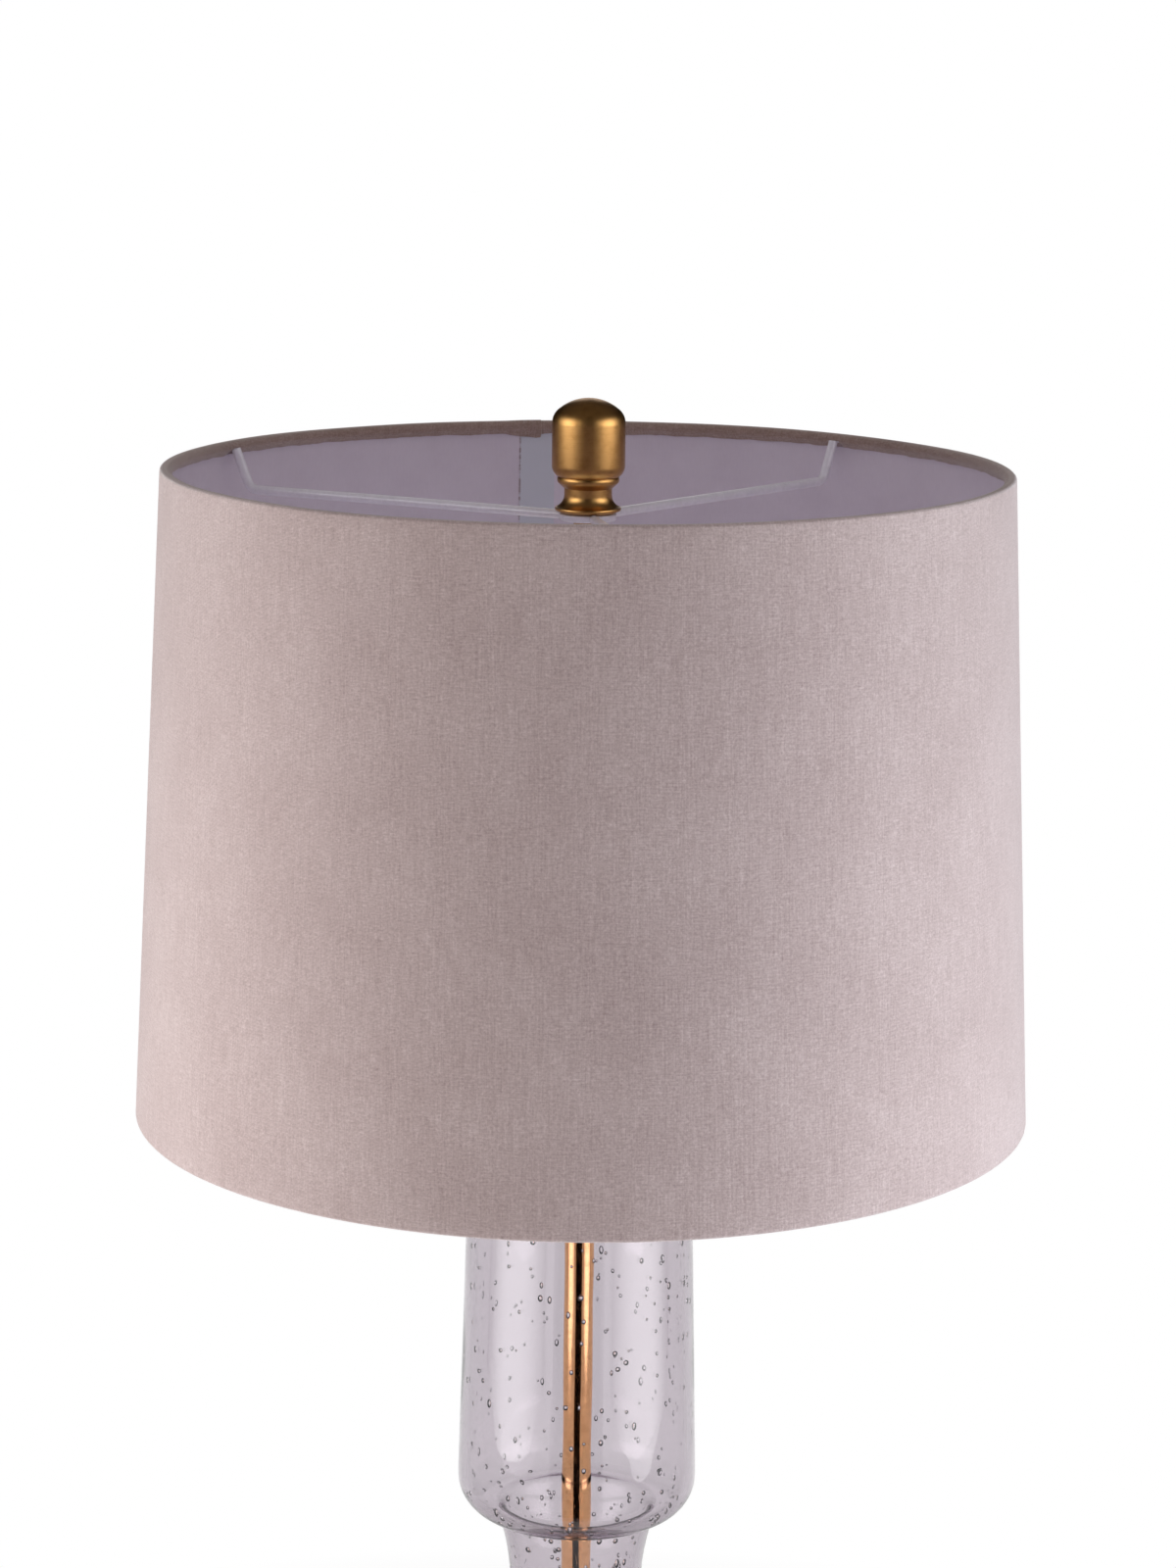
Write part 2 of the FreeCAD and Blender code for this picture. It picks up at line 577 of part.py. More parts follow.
def build_column():
    """Hollow glass, the brass tube and pipe inside it, and the brass cap, neck and nut above."""
    tube("threaded_pipe", "pipe_level", "pipe_radius", "pipe_bore", "pipe_length")
    tube("rod_sleeve", "foot_top", "tube_radius", "tube_radius - tube_wall",
         "cap_level + cap_height - cap_wall - seat_gap - foot_top")
    tube("glass_seat", "foot_top", "glass_foot_radius - seat_inset",
         "glass_foot_radius - seat_inset - seat_width", "seat_thickness")
    neck_bend = "-1 * " + flare_bend("fold_radius - neck_radius", "neck_rise")
    outer = glass_side("0") + [
        ("neck_radius", "neck_place", neck_bend),
        ("fold_radius", "fold_place"),
        ("cup_radius - cup_corner", "fold_place", "cup_corner"),
        ("cup_radius", "fold_place + cup_corner"),
        ("cup_top_radius", "glass_height - shoulder_corner", "shoulder_corner"),
        ("cup_top_radius - shoulder_corner", "glass_height"),
        ("mouth_radius", "glass_height"),
    ]
    inner = glass_side("glass_wall") + [
        ("neck_radius - glass_wall", "neck_place", neck_bend),
        ("fold_radius - glass_wall", "fold_place"),
        ("fold_radius - glass_wall", "fold_place + glass_wall"),
        ("cup_radius - cup_corner", "fold_place + glass_wall", "cup_corner - glass_wall"),
        ("cup_radius - glass_wall", "fold_place + cup_corner"),
        ("cup_top_radius - glass_wall", "glass_height - shoulder_corner", "shoulder_corner - glass_wall"),
        ("cup_top_radius - shoulder_corner", "glass_height - glass_wall"),
        ("mouth_radius", "glass_height - glass_wall"),
    ]
    turned("glass_body", "glass_level", outer + walked_back(inner))
    tube("cap_gasket", "cap_ring_level", "cap_radius", "cap_radius - cap_ring_width", "seat_thickness")
    turned("vase_cap", "cap_level", [
        ("cap_radius - cap_wall", "0"),
        ("cap_radius", "0"),
        ("cap_radius", "cap_wall"),
        ("cap_table", "cap_height"),
        ("pipe_radius + slip_gap", "cap_height"),
        ("pipe_radius + slip_gap", "cap_height - cap_wall"),
        ("cap_table", "cap_height - cap_wall"),
    ])
    turned("neck_spacer", "spacer_level", [
        ("pipe_radius + slip_gap", "0"),
        ("spacer_radius", "0"),
        ("spacer_radius", "spacer_lip"),
        ("spacer_waist", "2 * spacer_lip"),
        ("spacer_waist", "spacer_height - 2 * spacer_lip"),
        ("spacer_radius", "spacer_height - spacer_lip"),
        ("spacer_radius", "spacer_height"),
        ("pipe_radius + slip_gap", "spacer_height"),
    ])
    hexagon_nut("lock_nut", "lock_nut_level")


# ---------------------------------------------------------------- harp

def build_saddle():
    """The bent strap that the harp's feet stand in."""
    saddle = new_body("harp_saddle", "saddle_level")
    bend_in = "strap_thickness * tan(wing_slope / 2)"
    shoulder = "saddle_rise + strap_thickness * tan(45 deg - wing_slope / 2)"

    def strap(top):
        """Section of the strap, up to a level."""
        right = [
            ("saddle_flat", "0"),
            ("prong_reach", "saddle_rise"),
            ("prong_reach", top),
            ("leg_reach", top),
            ("leg_reach", shoulder),
            ("saddle_flat - " + bend_in, "strap_thickness"),
        ]
        left = [("-1 * (%s)" % across, up) for across, up in reversed(right)]
        if top == shoulder:
            right.pop(4)
            left.pop(1)
        return right + left
    pad(saddle, outline(saddle, "strap_section", strap(shoulder)), "strap_width", True)
    pad(saddle, outline(saddle, "prong_section", strap(shoulder + " + prong_height")), "prong_width", True)
    hole = circles(saddle, "saddle_hole", [("0", "0", "pipe_radius + slip_gap")])
    feature = saddle.newObject("PartDesign::Pocket", "saddle_hole_cut")
    feature.Profile = hole
    feature.setExpression("Length", bound("strap_thickness"))
    feature.Reversed = True
    return shoulder


def build_harp(shoulder):
    """Wire loop with flat feet and a boss, the swivelling stud and the two locking sleeves."""
    loop = new_body("harp_loop", "saddle_level")
    prong_top = "(%s + prong_height)" % shoulder
    wire_start = "(%s + seat_gap)" % prong_top
    straight_end = "(%s + harp_leg_straight)" % shoulder
    bow_reach = "(harp_half_width - harp_bow)"
    path = outline(loop, "harp_path", [
        ("leg_reach", wire_start),
        ("leg_reach", straight_end, "-harp_knee"),
        ("leg_reach + harp_knee * (1 - cos(harp_flare))", straight_end + " + harp_knee * sin(harp_flare)"),
        (bow_reach + " + harp_bow * cos(harp_flare)", "bow_place - harp_bow * sin(harp_flare)", "harp_bow"),
        (bow_reach, "bow_place + harp_bow"),
        ("boss_radius / 2", "bow_place + harp_bow"),
    ], closed=False)
    section = circles(loop, "harp_wire_section", [("leg_reach", "0", "harp_wire")])
    section.setExpression("AttachmentOffset.Base.z", bound(wire_start))
    wire = loop.newObject("PartDesign::AdditivePipe", "harp_wire_pipe")
    wire.Profile = section
    wire.Spine = (path, [])
    foot = outline(loop, "harp_foot", [
        ("leg_reach - strap_thickness", shoulder + " + seat_gap"),
        ("leg_reach", shoulder + " + seat_gap"),
        ("leg_reach", wire_start + " + foot_tail"),
        ("leg_reach - strap_thickness", wire_start + " + foot_tail"),
    ])
    flat = pad(loop, foot, "prong_width", True)
    other_side = loop.newObject("PartDesign::Mirrored", "harp_other_side")
    other_side.Originals = [wire, flat]
    other_side.MirrorPlane = (origin_plane(loop, "YZ_Plane"), [""])
    loop.Tip = other_side
    doc.recompute()
    boss = outline(loop, "boss_section", [
        ("0", "boss_level - saddle_level"),
        ("boss_radius", "boss_level - saddle_level"),
        ("boss_radius", "boss_level + boss_height - saddle_level"),
        ("0", "boss_level + boss_height - saddle_level"),
    ])
    revolve(loop, boss)
    bore = outline(loop, "boss_bore", [
        ("0", "boss_level - saddle_level - seat_gap"),
        ("stud_shank + thread_gap", "boss_level - saddle_level - seat_gap"),
        ("stud_shank + thread_gap", "boss_level + boss_height - saddle_level + seat_gap"),
        ("0", "boss_level + boss_height - saddle_level + seat_gap"),
    ])
    doc.recompute()
    before = loop.Shape.Volume
    groove = loop.newObject("PartDesign::Groove", "boss_bore_cut")
    groove.Profile = bore
    groove.ReferenceAxis = (bore, ["V_Axis"])
    groove.Angle = 360
    doc.recompute()
    if loop.Shape.Volume > before - 1:
        raise RuntimeError("the boss has no bore")
    boss_span = "(boss_height + 2 * seat_gap)"
    turned("harp_stud", "boss_level - seat_gap - stud_peen_height", [
        ("0", "0"),
        ("stud_peen", "0"),
        ("stud_peen", "stud_peen_height"),
        ("stud_shank", "stud_peen_height"),
        ("stud_shank", "stud_peen_height + " + boss_span),
        ("stud_flange", "stud_peen_height + " + boss_span),
        ("stud_flange", "stud_peen_height + stud_flange_height + " + boss_span),
        ("stud_radius", "stud_peen_height + stud_flange_height + " + boss_span),
        ("stud_radius", "stud_peen_height + stud_flange_height + hub_thickness + stud_length + " + boss_span),
        ("0", "stud_peen_height + stud_flange_height + hub_thickness + stud_length + " + boss_span),
    ])
    for label, side in (("harp_sleeve_left", "-leg_reach"), ("harp_sleeve_right", "leg_reach")):
        sleeve = tube(label, "saddle_level + seat_gap + " + shoulder,
                      "sleeve_bore + sleeve_wall", "sleeve_bore", "sleeve_length")
        sleeve.setExpression("Placement.Base.x", bound(side))


# ---------------------------------------------------------------- lamp holder

def build_holder():
    """Brass cap and shell, card tube, insulating core, contacts, screws and the turn switch."""
    cap = turned("socket_cap", "holder_level", [
        ("pipe_radius + thread_gap", "0"),
        ("holder_hub_radius", "0"),
        ("holder_hub_radius", "holder_hub_height"),
        ("holder_cap_radius", "holder_cap_height - holder_cap_rim"),
        ("holder_cap_radius", "holder_cap_height"),
        ("holder_cap_radius - holder_wall", "holder_cap_height"),
        ("holder_cap_radius - holder_wall", "holder_cap_height - holder_cap_rim"),
        ("holder_hub_radius", "holder_hub_height + holder_wall"),
        ("pipe_radius + thread_gap", "holder_hub_height + holder_wall"),
    ])
    hole = circles(cap, "cap_screw_hole", [("0", "holder_hub_height / 2", "cap_screw_radius + thread_gap")],
                   "XZ_Plane")
    drill(cap, hole, "holder_hub_radius + seat_gap")
    screw = turned("cap_screw", "holder_level + holder_hub_height / 2", [
        ("0", "pipe_radius + thread_gap"),
        ("cap_screw_radius", "pipe_radius + thread_gap"),
        ("cap_screw_radius", "holder_hub_radius + seat_gap"),
        ("cap_screw_head", "holder_hub_radius + seat_gap"),
        ("cap_screw_head", "holder_hub_radius + seat_gap + cap_screw_head_height"),
        ("0", "holder_hub_radius + seat_gap + cap_screw_head_height"),
    ])
    screw.Placement.Rotation = FreeCAD.Rotation(Vector(1, 0, 0), -90)

    stem_height = "(core_level + stem_level)"
    shell_foot = "(holder_level + holder_cap_height - shell_insert)"
    shell = tube("socket_shell", shell_foot, "shell_radius", "shell_radius - holder_wall", "shell_length")
    stem_round = ("0", stem_height + " - " + shell_foot, "stem_radius + slip_gap")
    drill(shell, circles(shell, "shell_stem_hole", [stem_round], "XZ_Plane"), "shell_radius + seat_gap", True)
    card_foot = "(%s + liner_recess)" % shell_foot
    card = tube("socket_liner", card_foot, "card_radius", "card_radius - liner_wall",
                "shell_length - 2 * liner_recess")
    stem_round = ("0", stem_height + " - " + card_foot, "stem_radius + slip_gap")
    drill(card, circles(card, "card_stem_hole", [stem_round], "XZ_Plane"), "card_radius + seat_gap", True)

    core = disc("socket_body", "core_level", "core_radius", "core_height")
    stem_round = ("0", "stem_level", "stem_radius + thread_gap")
    drill(core, circles(core, "core_stem_hole", [stem_round], "XZ_Plane"), "core_radius + seat_gap", True)
    for side, corner in (("right", "terminal_floor"), ("left", "-core_radius")):
        cut_box(core, "terminal_notch_" + side,
                (corner, "-terminal_notch / 2", "(core_height - terminal_notch) / 2"),
                ("core_radius - terminal_floor", "terminal_notch", "terminal_notch"))
    shank_start = "terminal_floor - terminal_length"
    for side, start in (("right", shank_start), ("left", "-terminal_floor")):
        bore = core.newObject("PartDesign::SubtractiveCylinder", "terminal_bore_" + side)
        bore.setExpression("Radius", bound("terminal_shank + thread_gap"))
        bore.setExpression("Height", bound("terminal_length"))
        bore.Placement.Rotation = FreeCAD.Rotation(Vector(0, 1, 0), 90)
        bore.setExpression("Placement.Base.x", bound(start))
        bore.setExpression("Placement.Base.z", bound("core_height / 2"))

    screws = []
    for side, turn in (("right", 90), ("left", -90)):
        shank = doc.addObject("Part::Cylinder", "terminal_shank_" + side)
        shank.setExpression("Radius", bound("terminal_shank"))
        shank.setExpression("Height", bound("terminal_length"))
        head = doc.addObject("Part::Cylinder", "terminal_head_" + side)
        head.setExpression("Radius", bound("terminal_head"))
        head.setExpression("Height", bound("terminal_head_height"))
        head.setExpression("Placement.Base.z", bound("terminal_length"))
        single = doc.addObject("Part::Fuse", "terminal_screw_" + side)
        single.Base = shank
        single.Tool = head
        single.Placement.Rotation = FreeCAD.Rotation(Vector(0, 1, 0), turn)
        sign = "" if turn > 0 else "-1 * "
        single.setExpression("Placement.Base.x", bound(sign + "(" + shank_start + ")"))
        screws.append(single)
    pair = doc.addObject("Part::Compound", "terminal_screws")
    pair.Label = "terminal_screws"
    pair.Links = screws
    pair.setExpression("Placement.Base.z", bound("core_level + core_height / 2"))
    pieces.append(pair)

    tube("screw_shell", "core_level + core_height",
         "thread_shell_bore + thread_shell_wall", "thread_shell_bore", "thread_shell_height")
    contact = new_body("centre_contact", "core_level + core_height")
    strip = outline(contact, "contact_section", [
        ("-2 * contact_reach", "0"),
        ("-contact_reach", "0"),
        ("0", "contact_rise"),
        ("contact_reach", "contact_rise"),
        ("contact_reach", "contact_rise + contact_thickness"),
        ("-contact_thickness / 2", "contact_rise + contact_thickness"),
        ("-contact_reach - contact_thickness / 2", "contact_thickness"),
        ("-2 * contact_reach", "contact_thickness"),
    ])
    pad(contact, strip, "contact_width", True)

    front = FreeCAD.Rotation(Vector(1, 0, 0), 90)
    stem = turned("switch_stem", stem_height, [
        ("0", "stem_start"),
        ("stem_radius", "stem_start"),
        ("stem_radius", "stem_start + stem_length"),
        ("0", "stem_start + stem_length"),
    ])
    stem.Placement.Rotation = front
    knob_start = "stem_start + stem_length - knob_grip"
    knob = turned("switch_knob", stem_height, [
        ("stem_radius", knob_start),
        ("knob_radius", knob_start),
        ("knob_radius", knob_start + " + knob_length"),
        ("0", knob_start + " + knob_length"),
        ("0", "stem_start + stem_length"),
        ("stem_radius", "stem_start + stem_length"),
    ])
    knob.Placement.Rotation = front


def build_bulb():
    """A frosted bulb: contact, insulator, screw cap and hollow envelope."""
    disc("bulb_contact", "bulb_level", "bulb_tip_radius", "bulb_tip_height")
    turned("bulb_insulator", "bulb_level + bulb_tip_height", [
        ("0", "0"),
        ("bulb_tip_radius", "0"),
        ("bulb_cap_radius", "bulb_base_height"),
        ("0", "bulb_base_height"),
    ])
    tube("bulb_cap", "bulb_level + bulb_cap_place", "bulb_cap_radius", "bulb_cap_radius - bulb_cap_wall",
         "bulb_cap_height")
    globe = "bulb_rise + bulb_neck_height"
    join_radius = "({0} * cos(bulb_flare))"
    join_level = "{1} - {0} * sin(bulb_flare)"
    shoulder = "(bulb_radius - bulb_wall)"
    turned("bulb_envelope", "bulb_level + bulb_glass_place - bulb_neck_height", [
        ("bulb_neck_radius - bulb_wall", "0"),
        ("bulb_neck_radius", "0"),
        ("bulb_neck_radius", "bulb_neck_height"),
        (join_radius.format("bulb_radius"), join_level.format("bulb_radius", globe), "bulb_radius"),
        ("bulb_radius", globe, "bulb_radius"),
        ("0", globe + " + bulb_radius"),
        ("0", globe + " + " + shoulder, "-1 * " + shoulder),
        (shoulder, globe, "-1 * " + shoulder),
        (join_radius.format(shoulder), join_level.format(shoulder, globe)),
        ("bulb_neck_radius - bulb_wall", "bulb_neck_height"),
    ])


# ---------------------------------------------------------------- shade

def skin(label, offset, thickness, margin):
    """A conical layer of the shade, offset inward from its outside and short of both rims."""
    low = "shade_bottom_radius - shade_slope * ({0}) - {1}".format(margin, offset)
    high = "shade_top_radius + shade_slope * ({0}) - {1}".format(margin, offset)
    return turned(label, "shade_level", [
        (low + " - " + thickness, margin),
        (low, margin),
        (high, "shade_height - " + margin),
        (high + " - " + thickness, "shade_height - " + margin),
    ])


def rolled_hem(label, rim, inward, reach, ring_radius):
    """Linen turned over a ring: rim is the shade's edge, inward the sign of the way into the shade.

    reach is the outside of the shade where the turned linen ends.
    """
    edge = "{0} {1} hem_edge".format(rim, inward)
    under = "{0} {1} hem_thickness".format(rim, inward)
    tuck_end = "{0} {1} (hem_radius + hem_tuck)".format(rim, inward)
    inside_end = "{0} {1} hem_height".format(rim, inward)
    inner = "(hem_radius - hem_thickness)"
    return turned(label, "shade_level", [
        (ring_radius + " + hem_radius", tuck_end),
        (ring_radius + " + hem_radius", edge),
        (ring_radius + " + hem_radius - hem_edge", rim),
        (ring_radius + " - hem_radius + hem_edge", rim),
        (ring_radius + " - hem_radius", edge),
        (ring_radius + " - hem_radius", tuck_end),
        (reach + " - hem_offset - hem_thickness", inside_end),
        (reach + " - hem_offset", inside_end),
        (ring_radius + " - " + inner, tuck_end),
        (ring_radius + " - " + inner, under),
        (ring_radius + " + " + inner, under),
        (ring_radius + " + " + inner, tuck_end),
    ])


def build_shade():
    """Linen and liner, rolled hems over two wire rings, and the three-armed spider."""
    skin("shade_fabric", "0", "fabric_thickness", "0")
    skin("shade_liner", "liner_offset", "liner_thickness", "liner_margin")
    rolled_hem("bottom_hem", "0", "+", "shade_bottom_radius - shade_slope * hem_height", "bottom_ring_radius")
    top_hem = rolled_hem("top_hem", "shade_height", "-", "shade_top_radius + shade_slope * hem_height",
                         "top_ring_radius")
    arms = (("one", "arm_one_azimuth"), ("two", "arm_two_azimuth"), ("three", "arm_three_azimuth"))
    notch_width = "(2 * (arm_wire + notch_gap))"
    for word, azimuth in arms:
        cut_box(top_hem, "hem_notch_" + word,
                ("knee_reach", "-1 * " + notch_width + " / 2", "shade_height - hem_height - notch_gap"),
                ("top_ring_radius - knee_reach", notch_width, "hem_height + notch_gap - hem_radius / 2"),
                azimuth)
    for label, radius, height in (
            ("top_ring", "top_ring_radius", "shade_height - hem_radius"),
            ("bottom_ring", "bottom_ring_radius", "hem_radius")):
        ring = new_body(label, "shade_level")
        revolve(ring, circles(ring, label + "_section", [(radius, height, "ring_wire")], "XZ_Plane"))
    turned("spider_hub", "hub_level", [
        ("stud_radius + slip_gap", "0"),
        ("hub_radius - hub_edge", "0", "hub_edge"),
        ("hub_radius", "hub_edge"),
        ("hub_radius", "hub_thickness - hub_edge", "hub_edge"),
        ("hub_radius - hub_edge", "hub_thickness"),
        ("stud_radius + slip_gap", "hub_thickness"),
    ])
    for word, azimuth in arms:
        spider_arm(word, azimuth)


def spider_arm(word, azimuth):
    """One arm: level from the hub, a bend at the knee and up to the top ring."""
    arm = new_body("spider_arm_" + word, "hub_level + hub_thickness / 2")
    setback = "arm_bend * tan(arm_slope / 2)"
    knee = "knee_reach - hub_radius"
    path = outline(arm, "arm_path_" + word, [
        ("0", "0"),
        (knee + " - " + setback, "0", "arm_bend"),
        (knee + " + " + setback + " * cos(arm_slope)", setback + " * sin(arm_slope)"),
        (knee + " + arm_slant * cos(arm_slope)", "arm_slant * sin(arm_slope)"),
    ], closed=False)
    section = circles(arm, "arm_section_" + word, [("0", "0", "arm_wire")], "YZ_Plane")
    wire = arm.newObject("PartDesign::AdditivePipe", "arm_pipe_" + word)
    wire.Profile = section
    wire.Spine = (path, [])
    arm.Placement.Rotation = FreeCAD.Rotation(Vector(0, 0, 1), number(azimuth))
    arm.setExpression("Placement.Rotation.Angle", bound(azimuth))
    arm.setExpression("Placement.Base.x", bound("hub_radius * cos(%s * 1 deg)" % azimuth))
    arm.setExpression("Placement.Base.y", bound("hub_radius * sin(%s * 1 deg)" % azimuth))


def build_finial():
    """Turned brass finial with a threaded hole."""
    crown = "(finial_height - finial_shoulder)"
    dome_edge = "(finial_height - finial_dome)"
    bead_top = "(finial_bead_level + finial_bead_height)"
    neck_top = "(finial_neck_level + finial_neck_height)"
    turned("finial", "finial_level", [
        ("stud_radius + thread_gap", "0"),
        ("finial_seat_radius", "0"),
        ("finial_foot_radius", "finial_foot_height / 2", "finial_foot_height / 2"),
        ("finial_foot_radius", "finial_foot_height", "-1 * " + flare_bend(
            "finial_foot_radius - finial_neck_radius", "finial_neck_level - finial_foot_height")),
        ("finial_neck_radius", "finial_neck_level"),
        ("finial_neck_radius", neck_top),
        ("finial_bead_radius", "finial_bead_level", "finial_bead_height"),
        ("finial_bead_radius", bead_top, flare_bend(
            "finial_radius - finial_bead_radius", "finial_barrel_foot - " + bead_top)),
        ("finial_radius", "finial_barrel_foot"),
        ("finial_radius", crown, flare_bend(
            "finial_radius - finial_dome_radius", "finial_shoulder - finial_dome")),
        ("finial_dome_radius", dome_edge, dome_bend("finial_dome_radius", "finial_dome")),
        ("0", "finial_height"),
        ("0", "finial_bore_depth"),
        ("stud_radius + thread_gap", "finial_bore_depth"),
    ])


# ---------------------------------------------------------------- build, check and write

build_foot()
build_column()
build_harp(build_saddle())
build_holder()
build_bulb()
build_shade()
build_finial()
doc.recompute()

for item in doc.Objects:
    if "Invalid" in item.State or "Error" in item.State:
        raise RuntimeError(item.Label + " is not built")
os.makedirs("parts", exist_ok=True)
for piece in pieces:
    shape = piece.Shape
    if shape.isNull() or not shape.isValid() or shape.Volume <= 0:
        raise RuntimeError(piece.Label + " has no valid solid")
    shape.exportStep("parts/" + piece.Label + ".step")
    print(piece.Label, len(shape.Solids), round(shape.Volume))
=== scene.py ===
"""The looks of a glass column table lamp: finishes, linen shade, seeded glass, studio and camera.

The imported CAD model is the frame. Every size is in metres, +Z is up and -Y is the front.
"""

import logging
import math
import random
from dataclasses import dataclass
from enum import Enum, IntEnum
from typing import Callable, ClassVar, Sequence

import bmesh
import bpy
from mathutils import Matrix, Vector, noise


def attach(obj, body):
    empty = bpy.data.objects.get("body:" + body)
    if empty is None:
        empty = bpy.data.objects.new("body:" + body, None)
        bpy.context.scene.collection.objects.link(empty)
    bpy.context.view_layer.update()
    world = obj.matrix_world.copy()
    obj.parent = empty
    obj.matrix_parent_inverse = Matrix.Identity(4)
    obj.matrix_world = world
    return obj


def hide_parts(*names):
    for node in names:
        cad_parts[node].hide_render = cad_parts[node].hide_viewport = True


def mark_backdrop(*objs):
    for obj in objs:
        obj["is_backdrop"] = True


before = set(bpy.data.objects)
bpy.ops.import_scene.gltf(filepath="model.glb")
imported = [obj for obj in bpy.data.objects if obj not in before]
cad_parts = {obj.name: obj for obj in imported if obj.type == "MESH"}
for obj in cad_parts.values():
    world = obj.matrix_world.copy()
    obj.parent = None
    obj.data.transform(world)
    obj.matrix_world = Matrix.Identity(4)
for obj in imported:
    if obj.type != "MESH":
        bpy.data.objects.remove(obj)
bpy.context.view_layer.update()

FULL_TURN = 2 * math.pi
MM = 0.001
# Edges of a mesh sharper than CREASE stay sharp, and an arc is drawn in ARC_STEPS pieces.
CREASE = math.radians(50)
ARC_STEPS = 16

log = logging.getLogger("lamp")

Colour = tuple[float, float, float, float]
Point = tuple[float, float]
Piece = bpy.types.Object
Material = bpy.types.Material
Socket = bpy.types.NodeSocket
Value = Socket | float | Sequence[float]

WHITE: Colour = (1.0, 1.0, 1.0, 1.0)
# Places of the Mix node's colour sockets, two among its inputs and one among its outputs.
FIRST_COLOUR, SECOND_COLOUR, MIXED_COLOUR = 6, 7, 2


def paint(red: int, green: int, blue: int) -> Colour:
    """A colour as a paint card gives it, from 0 to 255, turned into Blender's linear numbers.

    Args:
        red: share of red.
        green: share of green.
        blue: share of blue.

    Returns:
        Linear red, green, blue and a full alpha.
    """
    linear = []
    for share in (red, green, blue):
        value = share / 255
        linear.append(value / 12.92 if value <= 0.04045 else ((value + 0.055) / 1.055) ** 2.4)
    return (*linear, 1.0)


# ---------------------------------------------------------------- making a material


class Wiring:
    """A node tree being wired, a material's or the sky's, and the steps that both have a use for."""

    def __init__(self, tree: bpy.types.NodeTree) -> None:
        """Takes a tree over and empties it."""
        self.nodes, self.links = tree.nodes, tree.links
        self.nodes.clear()

    def add(self, kind: str, sockets: dict[str | int, Value] | None = None,
            **settings: str) -> bpy.types.Node:
        """A new node, set up and with its sockets linked or filled.

        Args:
            kind: Blender's name for it, without the ShaderNode in front.
            sockets: what goes into a socket, by the socket's name or place.
            settings: the node's own settings, such as operation="SINE".

        Returns:
            The node.
        """
        node = self.nodes.new("ShaderNode" + kind)
        for name, setting in settings.items():
            setattr(node, name, setting)
        for place, value in (sockets or {}).items():
            if isinstance(value, Socket):
                self.links.new(value, node.inputs[place])
            else:
                node.inputs[place].default_value = value
        return node

    def reckon(self, operation: str, first: Socket | float, second: Socket | float = 0.0) -> Socket:
        """The result of a Math node's operation on one or two numbers."""
        return self.add("Math", {0: first, 1: second}, operation=operation).outputs[0]

    def total(self, first: Socket, *others: Socket | float) -> Socket:
        """A number with others added to it, one after the other.

        Args:
            first: the number.
            others: the others.

        Returns:
            The sum.
        """
        for other in others:
            first = self.reckon("ADD", first, other)
        return first

    def spread(self, source: Socket, low: float, high: float,
               start: float = 0.0, end: float = 1.0) -> Socket:
        """A number between start and end, carried over to the range from low to high."""
        return self.add("MapRange", {"Value": source, "From Min": start, "From Max": end,
                                     "To Min": low, "To Max": high}).outputs["Result"]

    def blended(self, share: Socket, first: Colour | Socket, second: Colour | Socket) -> Socket:
        """Two colours mixed, with a share from 0 to 1 of the second."""
        colours = {0: share, FIRST_COLOUR: first, SECOND_COLOUR: second}
        return self.add("Mix", colours, data_type="RGBA").outputs[MIXED_COLOUR]

    def ray(self, question: str) -> Socket:
        """What the Light Path node says of the ray, such as Is Camera Ray."""
        return self.add("LightPath").outputs[question]

    def seen(self) -> Socket:
        """1 for rays from the camera, from a mirror or through glass, and 0 for the others."""
        kinds = (self.ray("Is Camera Ray"), self.ray("Is Glossy Ray"), self.ray("Is Transmission Ray"))
        return self.reckon("MINIMUM", self.total(*kinds), 1.0)


